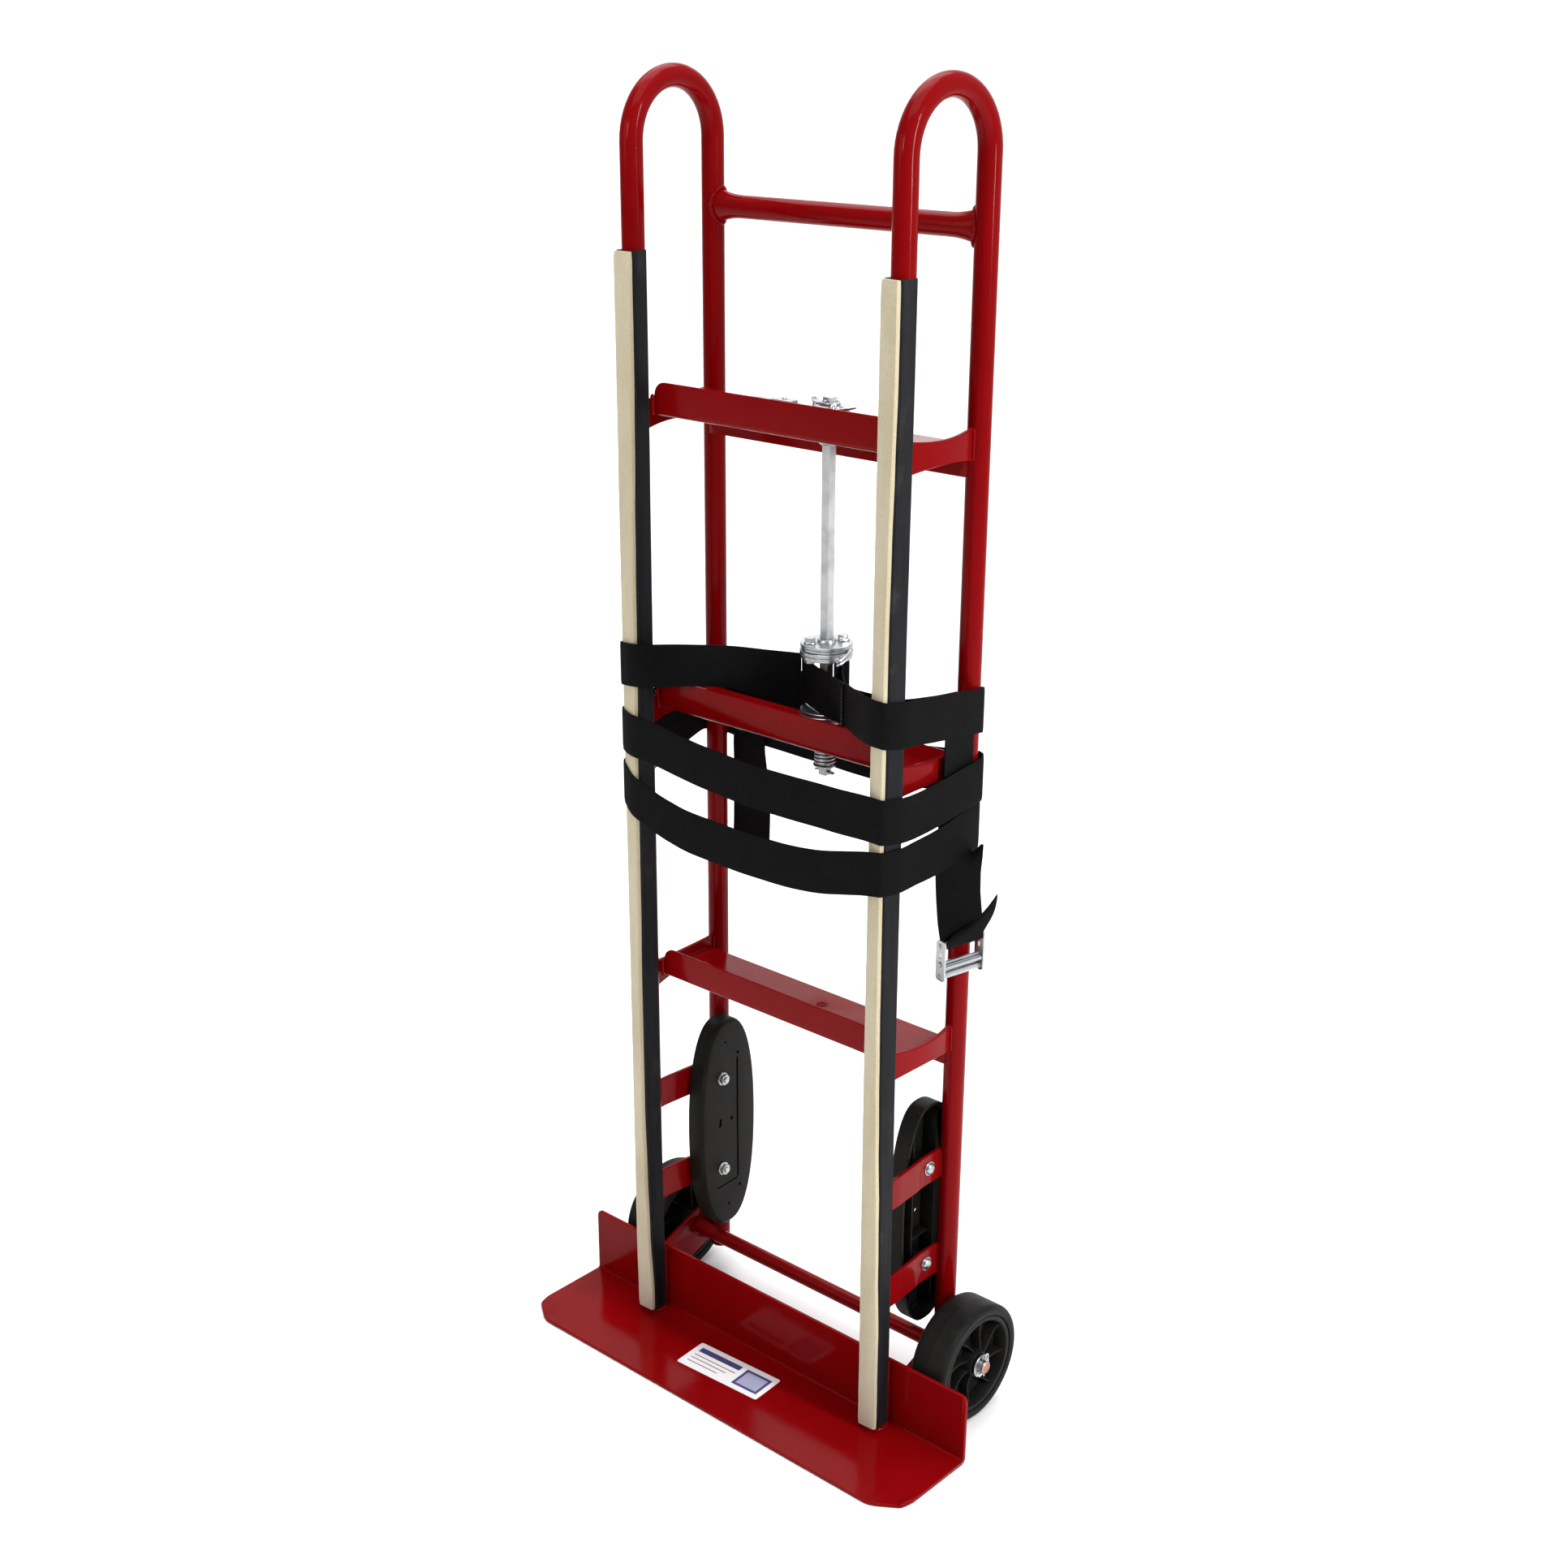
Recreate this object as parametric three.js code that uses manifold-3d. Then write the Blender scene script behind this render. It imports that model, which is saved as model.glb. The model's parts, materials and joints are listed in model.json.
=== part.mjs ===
// Appliance hand truck: welded tube frame, toe plate, padded load rails, stair glides,
// two wheels on a through axle, and a ratchet winch with a woven belt.
// Units are millimetres. +Z is up, +X is the truck's right seen from the load side,
// +Y points away from the load, towards the person pushing.
// Origin: underside of the toe plate, midway between the load rails.
import * as THREE from 'three';
import { mergeVertices } from 'three/addons/utils/BufferGeometryUtils.js';
import Module from 'manifold-3d';

const wasm = await Module();
wasm.setup();

// ---------------------------------------------------------------- driving sizes
const HEIGHT = 1524;            // overall height
const TUBE_R = 12.7;            // rail tube outer radius
const TUBE_WALL = 1.65;         // rail tube wall
const FRONT_X = 184.2;          // load leg axis, half spacing
const REAR_X = 187;             // rear leg axis, half spacing
const REAR_Y = 128;             // rear leg axis behind the load leg axis
const LOOP_R = REAR_Y / 2;      // top loop centreline radius
const REAR_FOOT_Z = 42;         // lower end of the rear leg
const PLATE_T = 4.8;            // toe plate thickness
const TOE_W = 609.6;            // toe plate width
const TOE_FRONT_Y = -117;       // toe plate front edge
const FLANGE_Y = 14.6;          // front face of the toe plate's upright flange
const FLANGE_TOP = 93;
const MEMBER_Z = [1160, 822, 478];   // underside of each cross member's shelf
const MEMBER_T = 3;
const MEMBER_Y0 = 17, MEMBER_Y1 = 116.2;
const MEMBER_UP = 37.5, MEMBER_DOWN = 37;
const BRACE_T = 5, BRACE_H = 32, BRACE_BOW = 5;
const PAD_Z0 = 8, PAD_Z1 = 1338;
const PAD_W = 27.2, PAD_BACK = 7.2, PAD_FRONT = 13.6, FELT_FRONT = 19.2, FELT_W = 24.4;
const AXLE_Y = 99.3, WHEEL_R = 74.6, AXLE_Z = WHEEL_R, AXLE_R = 7.9;
const WHEEL_IN = 214, WHEEL_OUT = 262.6;
const BRACKET_X0 = 200.1, BRACKET_T = 4.8;
const GLIDE_Y = 106, GLIDE_Z = 244.5, GLIDE_HY = 50.5, GLIDE_HZ = 147.5, GLIDE_X0 = 150, GLIDE_X1 = 175.3;
const GLIDE_BOLT_Y = 94.5, GLIDE_BOLT_Z = [313.5, 183];
const STRAP_T = 5;
const WINCH_X = 25.4, WINCH_Y = 80.3, SHAFT_SIDE = 11.2;
const SPOOL_R = 30, SPOOL_Z = [838, 850, 910, 927];
const BELT_W = 50.8, BELT_T = 2;
const GAP = 0.3;

// ---------------------------------------------------------------- finishes
const redPaint = () => new THREE.MeshStandardMaterial({ color: 0x8c0d12, roughness: 0.28, metalness: 0.0 });
const zinc = () => new THREE.MeshStandardMaterial({ color: 0xb9bcc0, roughness: 0.35, metalness: 0.9 });
const vinyl = () => new THREE.MeshStandardMaterial({ color: 0x1b1b1e, roughness: 0.5, metalness: 0.0 });
const felt = () => new THREE.MeshStandardMaterial({ color: 0xd6caa8, roughness: 0.95, metalness: 0.0 });
const webbing = () => new THREE.MeshStandardMaterial({ color: 0x121212, roughness: 0.85, metalness: 0.0 });
const moulded = () => new THREE.MeshStandardMaterial({ color: 0x1a1a18, roughness: 0.6, metalness: 0.0 });
const rubber = () => new THREE.MeshStandardMaterial({ color: 0x171717, roughness: 0.75, metalness: 0.0 });
const labelStock = () => new THREE.MeshStandardMaterial({ color: 0xe9e9ec, roughness: 0.35, metalness: 0.0 });

// ---------------------------------------------------------------- helpers
const root = new THREE.Group();
root.name = 'hand_truck';

function put(name, geometry, material) {
  const mesh = new THREE.Mesh(geometry, material);
  mesh.name = name;
  root.add(mesh);
  return mesh;
}

// solid <-> geometry
function solid(geometry) {
  let g = geometry.clone();
  g.deleteAttribute('normal');
  g.deleteAttribute('uv');
  g = mergeVertices(g, 1e-4);
  const index = g.index.array;
  const tri = [];
  for (let i = 0; i < index.length; i += 3) {
    const a = index[i], b = index[i + 1], c = index[i + 2];
    if (a !== b && b !== c && a !== c) tri.push(a, b, c);
  }
  return new wasm.Manifold(new wasm.Mesh({
    numProp: 3,
    vertProperties: new Float32Array(g.attributes.position.array),
    triVerts: new Uint32Array(tri),
  }));
}
function geometryOf(manifold) {
  const m = manifold.getMesh();
  const g = new THREE.BufferGeometry();
  g.setAttribute('position', new THREE.BufferAttribute(new Float32Array(m.vertProperties), 3));
  g.setIndex(new THREE.BufferAttribute(new Uint32Array(m.triVerts), 1));
  g.computeVertexNormals();
  return g;
}
const unite = (...gs) => geometryOf(gs.map(solid).reduce((a, b) => a.add(b)));
const cut = (base, ...tools) => geometryOf(tools.map(solid).reduce((a, b) => a.subtract(b), solid(base)));

function boxAt(x0, x1, y0, y1, z0, z1) {
  const g = new THREE.BoxGeometry(x1 - x0, y1 - y0, z1 - z0);
  g.translate((x0 + x1) / 2, (y0 + y1) / 2, (z0 + z1) / 2);
  return g;
}
// cylinder along an axis, from a to b
function rod(axis, r, a, b, c1, c2, sides = 24) {
  const g = new THREE.CylinderGeometry(r, r, b - a, sides);
  if (axis === 'x') { g.rotateZ(-Math.PI / 2); g.translate((a + b) / 2, c1, c2); }
  if (axis === 'y') { g.translate(c1, (a + b) / 2, c2); }
  if (axis === 'z') { g.rotateX(Math.PI / 2); g.translate(c1, c2, (a + b) / 2); }
  return g;
}
// flat outline in the XY plane, extruded up from z0
function slab(shape, z0, t, curveSegments = 8) {
  const g = new THREE.ExtrudeGeometry(shape, { depth: t, bevelEnabled: false, curveSegments });
  g.translate(0, 0, z0);
  return g;
}
// outline given in (y, z), extruded along +X from x0
function sideSlab(shape, x0, t, curveSegments = 8) {
  const g = new THREE.ExtrudeGeometry(shape, { depth: t, bevelEnabled: false, curveSegments });
  g.applyMatrix4(new THREE.Matrix4().set(0, 0, 1, 0, 1, 0, 0, 0, 0, 1, 0, 0, 0, 0, 0, 1));
  g.translate(x0, 0, 0);
  return g;
}
// outline given in (x, z), extruded along +Y from y0
function frontSlab(shape, y0, t, curveSegments = 8) {
  const g = new THREE.ExtrudeGeometry(shape, { depth: t, bevelEnabled: false, curveSegments });
  g.rotateX(Math.PI / 2);
  g.translate(0, y0 + t, 0);
  return g;
}
function polygon(points) {
  const s = new THREE.Shape();
  points.forEach(([a, b], i) => (i ? s.lineTo(a, b) : s.moveTo(a, b)));
  s.closePath();
  return s;
}
// outline with every corner rounded
function rounded(points, radii) {
  const s = new THREE.Shape();
  const n = points.length;
  for (let i = 0; i < n; i++) {
    const p = new THREE.Vector2(...points[i]);
    const a = new THREE.Vector2(...points[(i + n - 1) % n]).sub(p);
    const b = new THREE.Vector2(...points[(i + 1) % n]).sub(p);
    const r = Array.isArray(radii) ? radii[i] : radii;
    if (r <= 0) { if (i) s.lineTo(p.x, p.y); else s.moveTo(p.x, p.y); continue; }
    const half = Math.acos(Math.max(-1, Math.min(1, a.dot(b) / (a.length() * b.length())))) / 2;
    const d = r / Math.tan(half);
    const p1 = p.clone().add(a.normalize().multiplyScalar(d));
    const p2 = p.clone().add(b.normalize().multiplyScalar(d));
    if (i) s.lineTo(p1.x, p1.y); else s.moveTo(p1.x, p1.y);
    s.quadraticCurveTo(p.x, p.y, p2.x, p2.y);
  }
  s.closePath();
  return s;
}
function circle(r, cx = 0, cy = 0) {
  const s = new THREE.Shape();
  s.absarc(cx, cy, r, 0, Math.PI * 2, false);
  return s;
}
function ring(r1, r0) {
  const s = circle(r1);
  const h = new THREE.Path();
  h.absarc(0, 0, r0, 0, Math.PI * 2, true);
  s.holes.push(h);
  return s;
}
// turned piece about +Z through (cx, cy): closed profile of [radius, z]
function turned(profile, cx, cy, sides = 24) {
  const pts = profile.map(([r, z]) => new THREE.Vector2(r, z));
  pts.push(pts[0].clone());
  const g = new THREE.LatheGeometry(pts, sides);
  g.rotateX(Math.PI / 2);
  g.translate(cx, cy, 0);
  return g;
}
// turned piece about an X axis: closed profile of [radius, x]
function turnedX(profile, cy, cz, sides = 32) {
  const pts = profile.map(([r, x]) => new THREE.Vector2(r, x));
  pts.push(pts[0].clone());
  const g = new THREE.LatheGeometry(pts, sides);
  g.rotateZ(-Math.PI / 2);
  g.translate(0, cy, cz);
  return g;
}
const mirrorX = (g) => {
  const m = g.clone();
  m.applyMatrix4(new THREE.Matrix4().makeScale(-1, 1, 1));
  if (m.index) {
    const a = m.index.array;
    for (let i = 0; i < a.length; i += 3) { const t = a[i]; a[i] = a[i + 1]; a[i + 1] = t; }
  } else {
    const p = m.attributes.position.array;
    for (let i = 0; i < p.length; i += 9) {
      for (let k = 0; k < 3; k++) { const t = p[i + k]; p[i + k] = p[i + 3 + k]; p[i + 3 + k] = t; }
    }
    m.deleteAttribute('normal');
    m.deleteAttribute('uv');
  }
  m.computeVertexNormals();
  return m;
};
// a curve through listed points, one step per point, with stated tangents
class Route extends THREE.Curve {
  constructor(points, tangents) { super(); this.points = points; this.tangents = tangents; }
  getPoint(t, target = new THREE.Vector3()) {
    const n = this.points.length - 1;
    const f = Math.min(Math.max(t, 0), 1) * n;
    const i = Math.min(Math.floor(f), n - 1);
    return target.copy(this.points[i]).lerp(this.points[i + 1], f - i);
  }
  getTangent(t, target = new THREE.Vector3()) {
    const n = this.points.length - 1;
    return target.copy(this.tangents[Math.round(Math.min(Math.max(t, 0), 1) * n)]);
  }
  getUtoTmapping(u) { return u; }
}
function along(shape, points, tangents, curveSegments = 8) {
  return new THREE.ExtrudeGeometry(shape, {
    steps: points.length - 1, extrudePath: new Route(points, tangents), bevelEnabled: false, curveSegments,
  });
}
// flat webbing: frames {c: centre, w: width direction, n: face normal}
function webbingStrip(frames, width, t) {
  const pos = [], idx = [];
  for (const f of frames) {
    const w = f.w.clone().normalize().multiplyScalar((f.width ?? width) / 2);
    const n = f.n.clone().normalize().multiplyScalar(t / 2);
    for (const [sw, sn] of [[-1, -1], [1, -1], [1, 1], [-1, 1]]) {
      const p = f.c.clone().addScaledVector(w, sw).addScaledVector(n, sn);
      pos.push(p.x, p.y, p.z);
    }
  }
  const last = frames.length - 1;
  for (let i = 0; i < last; i++) {
    for (let k = 0; k < 4; k++) {
      const a = i * 4 + k, b = i * 4 + (k + 1) % 4, c = a + 4, d = b + 4;
      idx.push(a, b, c, b, d, c);
    }
  }
  idx.push(0, 2, 1, 0, 3, 2);
  const e = last * 4;
  idx.push(e, e + 1, e + 2, e, e + 2, e + 3);
  // outward facing: check the signed volume
  let vol = 0;
  for (let i = 0; i < idx.length; i += 3) {
    const [a, b, c] = [idx[i], idx[i + 1], idx[i + 2]].map((k) => new THREE.Vector3(pos[k * 3], pos[k * 3 + 1], pos[k * 3 + 2]));
    vol += a.dot(b.cross(c));
  }
  if (vol < 0) for (let i = 0; i < idx.length; i += 3) { const s = idx[i]; idx[i] = idx[i + 1]; idx[i + 1] = s; }
  const g = new THREE.BufferGeometry();
  g.setAttribute('position', new THREE.BufferAttribute(new Float32Array(pos), 3));
  g.setIndex(idx);
  g.computeVertexNormals();
  return g;
}
// upright band round the frame: [x, y, lower edge z] in plan order
function band(points) {
  const P = points.map(([x, y, z]) => new THREE.Vector3(x, y, z + BELT_W / 2));
  const frames = P.map((p, i) => {
    const a = P[Math.max(i - 1, 0)], b = P[Math.min(i + 1, P.length - 1)];
    const d1 = p.clone().sub(a).setZ(0), d2 = b.clone().sub(p).setZ(0);
    if (d1.length() < 1e-6) d1.copy(d2);
    if (d2.length() < 1e-6) d2.copy(d1);
    const t = d1.normalize().add(d2.normalize()).normalize();
    return { c: p, w: new THREE.Vector3(0, 0, 1), n: new THREE.Vector3(t.y, -t.x, 0) };
  });
  return webbingStrip(frames, BELT_W, BELT_T);
}

// ---------------------------------------------------------------- side rails
function railGeometry() {
  const P = [], T = [];
  const top = HEIGHT - TUBE_R - LOOP_R;
  const xAt = (y) => FRONT_X + (REAR_X - FRONT_X) * (y / REAR_Y);
  P.push(new THREE.Vector3(FRONT_X, 0, PLATE_T + GAP)); T.push(new THREE.Vector3(0, 0, 1));
  const n = 14;
  for (let i = 0; i <= n; i++) {
    const a = Math.PI * (1 - i / n);
    const y = LOOP_R + LOOP_R * Math.cos(a);
    P.push(new THREE.Vector3(xAt(y), y, top + LOOP_R * Math.sin(a)));
    T.push(new THREE.Vector3((REAR_X - FRONT_X) / REAR_Y * Math.sin(a), Math.sin(a), -Math.cos(a)).normalize());
  }
  P.push(new THREE.Vector3(REAR_X, REAR_Y, REAR_FOOT_Z)); T.push(new THREE.Vector3(0, 0, -1));
  return along(ring(TUBE_R, TUBE_R - TUBE_WALL), P, T, 7);
}
const rail = railGeometry();
put('right_side_rail', rail, redPaint());
put('left_side_rail', mirrorX(rail), redPaint());

const frontLeg = (sx, r = TUBE_R + GAP) => rod('z', r, 0, 1600, sx * FRONT_X, 0, 36);
const rearLeg = (sx, r = TUBE_R + GAP) => rod('z', r, 0, 1600, sx * REAR_X, REAR_Y, 36);

// ---------------------------------------------------------------- top cross tube
{
  const bar = geometryOf(solid(rod('x', 12.4, -184, 184, REAR_Y, 1375, 24)).subtract(solid(rod('x', 10.7, -190, 190, REAR_Y, 1375, 24))));
  put('top_cross_tube', cut(bar, rearLeg(1), rearLeg(-1)), redPaint());
}

// ---------------------------------------------------------------- toe plate
{
  const w = TOE_W / 2;
  const nose = slab(rounded([[-w, FLANGE_Y + PLATE_T], [-w, -93], [-w + 34, TOE_FRONT_Y], [w - 34, TOE_FRONT_Y], [w, -93], [w, FLANGE_Y + PLATE_T]], [0, 14, 14, 14, 14, 0]), 0, PLATE_T, 5);
  const flange = boxAt(-w, w, FLANGE_Y, FLANGE_Y + PLATE_T, 0, FLANGE_TOP);
  put('toe_plate', unite(nose, flange), redPaint());
}

// ---------------------------------------------------------------- cross members and braces
const braceX = (y) => {
  const s = (y - TUBE_R) / (REAR_Y - 2 * TUBE_R);
  return FRONT_X + (REAR_X - FRONT_X) * (y / REAR_Y) + BRACE_BOW * Math.sin(Math.PI * Math.min(Math.max(s, 0), 1));
};
function braceGeometry(zc) {
  const ys = []; for (let i = 0; i <= 12; i++) ys.push(5 + (REAR_Y - 10) * i / 12);
  const outer = ys.map((y) => [braceX(y) + BRACE_T / 2, y]);
  const inner = ys.map((y) => [braceX(y) - BRACE_T / 2, y]).reverse();
  const g = slab(polygon([...outer, ...inner]), zc - BRACE_H / 2, BRACE_H);
  return cut(g, frontLeg(1), rearLeg(1));
}
function memberGeometry(z0, holeR) {
  const shelfEnd = (y) => braceX(y) - BRACE_T / 2 - GAP;
  const ys = []; for (let i = 0; i <= 10; i++) ys.push(MEMBER_Y0 + (MEMBER_Y1 - MEMBER_Y0) * i / 10);
  const right = ys.map((y) => [shelfEnd(y), y]);
  const left = ys.map((y) => [-shelfEnd(y), y]).reverse();
  const shelf = slab(polygon([...right, ...left]), z0, MEMBER_T);
  const fw = 171;
  const up = frontSlab(rounded([[-fw, z0], [fw, z0], [fw, z0 + MEMBER_UP], [-fw, z0 + MEMBER_UP]], [0, 0, 15, 15]), MEMBER_Y0, MEMBER_T, 6);
  const down = boxAt(-176, 176, MEMBER_Y1 - MEMBER_T, MEMBER_Y1, z0 + MEMBER_T - MEMBER_DOWN, z0 + MEMBER_T);
  let m = unite(shelf, up, down);
  m = cut(m, rearLeg(1), rearLeg(-1));
  if (holeR) m = cut(m, rod('z', holeR, z0 - 5, z0 + 10, WINCH_X, WINCH_Y, 28));
  return m;
}
['upper', 'middle', 'lower'].forEach((level, i) => {
  const z0 = MEMBER_Z[i];
  put(`${level}_cross_member`, memberGeometry(z0, i < 2 ? 8.5 : 6.5), redPaint());
  const b = braceGeometry(z0 + (i === 1 ? -4 : 1));
  put(`right_${level}_brace`, b, redPaint());
  put(`left_${level}_brace`, mirrorX(b), redPaint());
});

// ---------------------------------------------------------------- stair glides and their straps
function glideStrap(z0, z1) {
  const path = [[184.5, 4], [178.6, 34], [178.6, 124]];
  const h = STRAP_T / 2;
  const outer = path.map(([x, y]) => [x + h, y]);
  const inner = path.map(([x, y]) => [x - h, y]).reverse();
  const g = slab(polygon([...outer, ...inner]), z0, z1 - z0);
  const zc = z0 < 250 ? GLIDE_BOLT_Z[1] : GLIDE_BOLT_Z[0];
  return cut(g, frontLeg(1), rearLeg(1), rod('x', 4.6, 160, 200, GLIDE_BOLT_Y, zc, 20));
}
function glideOutline(hy, hz) {
  const s = new THREE.Shape();
  const n = 40;
  for (let i = 0; i < n; i++) {
    const a = 2 * Math.PI * i / n;
    const c = Math.cos(a), q = Math.sin(a);
    const y = GLIDE_Y + hy * Math.sign(c) * Math.abs(c) ** 0.80;
    const z = GLIDE_Z + hz * Math.sign(q) * Math.abs(q) ** 0.90;
    if (i) s.lineTo(y, z); else s.moveTo(y, z);
  }
  s.closePath();
  return s;
}
{
  // trimmed where it would meet the rear leg
  let g = sideSlab(glideOutline(GLIDE_HY, GLIDE_HZ), GLIDE_X0, GLIDE_X1 - GLIDE_X0);
  g = cut(g, rod('x', 4.6, 100, 200, GLIDE_BOLT_Y, GLIDE_BOLT_Z[0], 20), rod('x', 4.6, 100, 200, GLIDE_BOLT_Y, GLIDE_BOLT_Z[1], 20), rearLeg(1, TUBE_R + 0.5));
  put('right_stair_glide', g, moulded());
  put('left_stair_glide', mirrorX(g), moulded());
}
[['upper', 292, 331, 0], ['lower', 160, 201, 1]].forEach(([level, z0, z1, k]) => {
  const s = glideStrap(z0, z1);
  put(`right_glide_strap_${level}`, s, redPaint());
  put(`left_glide_strap_${level}`, mirrorX(s), redPaint());
  const zc = GLIDE_BOLT_Z[k];
  const head = rod('x', 7.4, 181.4, 186.2, GLIDE_BOLT_Y, zc, 16);
  const shank = rod('x', 4.0, 141.6, 183, GLIDE_BOLT_Y, zc, 16);
  const nut = rod('x', 7.8, 144.6, GLIDE_X0 - GAP, GLIDE_BOLT_Y, zc, 6);
  const b = unite(head, shank, nut);
  put(`right_glide_bolt_${level}`, b, zinc());
  put(`left_glide_bolt_${level}`, mirrorX(b), zinc());
});

// ---------------------------------------------------------------- wheel brackets, axle, wheels
{
  const k = 0.36, y0 = FLANGE_Y + PLATE_T + GAP;
  const up = (y) => 75.3 + k * (y - 36), lo = (y) => 15.7 + k * (y - 38.6);
  const g = sideSlab(rounded([[y0, lo(y0)], [139, lo(139)], [139, up(139)], [y0, up(y0)]], [0, 18, 18, 0]), BRACKET_X0, BRACKET_T, 5);
  const b = cut(g, rod('x', AXLE_R + GAP, 180, 220, AXLE_Y, AXLE_Z, 24));
  put('right_wheel_bracket', b, redPaint());
  put('left_wheel_bracket', mirrorX(b), redPaint());
}
put('axle_spacer_tube', turnedX([[8.2, -199.7], [9.3, -199.7], [9.3, 199.7], [8.2, 199.7]], AXLE_Y, AXLE_Z, 20), redPaint());
{
  const bar = rod('x', AXLE_R, -273.5, 273.5, AXLE_Y, AXLE_Z, 24);
  put('wheel_axle', cut(bar, rod('z', 2.2, 50, 100, 269, AXLE_Y, 12), rod('z', 2.2, 50, 100, -269, AXLE_Y, 12)), zinc());
  const washer = turnedX([[8.2, 263.1], [15.5, 263.1], [15.5, 265.6], [8.2, 265.6]], AXLE_Y, AXLE_Z, 24);
  put('right_axle_washer', washer, zinc());
  put('left_axle_washer', mirrorX(washer), zinc());
  const cotter = rod('z', 1.9, AXLE_Z - 13, AXLE_Z + 12, 269, AXLE_Y, 10);
  put('right_axle_cotter', cotter, zinc());
  put('left_axle_cotter', mirrorX(cotter), zinc());
}
{
  const xi = WHEEL_IN, xo = WHEEL_OUT, R = WHEEL_R;
  const tyre = turnedX([[58, xi + 2], [66, xi], [71, xi + 2], [R - 0.8, xi + 8], [R, xi + 15], [R, xo - 15], [R - 0.8, xo - 8], [71, xo - 2], [66, xo], [58, xo - 2]], AXLE_Y, AXLE_Z, 40);
  const xm = (xi + xo) / 2;
  const core = turnedX([[8.3, xi - 4], [19, xi - 4], [19, xm - 6], [50, xm - 5], [50, xi + 3], [57.7, xi + 3], [57.7, xo - 3], [50, xo - 3], [50, xm + 5], [19, xm + 6], [19, xo - 2], [8.3, xo - 2]], AXLE_Y, AXLE_Z, 32);
  const spokes = [];
  for (let i = 0; i < 6; i++) {
    const s = boxAt(xi + 8, xo - 8, -2.4, 2.4, 17, 52);
    s.rotateX(i * Math.PI / 3 + Math.PI / 6);
    s.translate(0, AXLE_Y, AXLE_Z);
    spokes.push(s);
  }
  const hub = unite(core, ...spokes);
  put('right_wheel_hub', hub, moulded());
  put('left_wheel_hub', mirrorX(hub), moulded());
  put('right_wheel_tyre', tyre, rubber());
  put('left_wheel_tyre', mirrorX(tyre), rubber());
}

// ---------------------------------------------------------------- pad channels and felt
{
  const w = PAD_W / 2;
  const c = cut(boxAt(FRONT_X - w, FRONT_X + w, -PAD_FRONT, PAD_BACK, PAD_Z0, PAD_Z1), frontLeg(1, TUBE_R + GAP));
  put('right_pad_channel', c, vinyl());
  put('left_pad_channel', mirrorX(c), vinyl());
  const f = boxAt(FRONT_X - FELT_W / 2, FRONT_X + FELT_W / 2, -FELT_FRONT, -PAD_FRONT - GAP, PAD_Z0, PAD_Z1);
  put('right_felt_strip', f, felt());
  put('left_felt_strip', mirrorX(f), felt());
}

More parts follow.
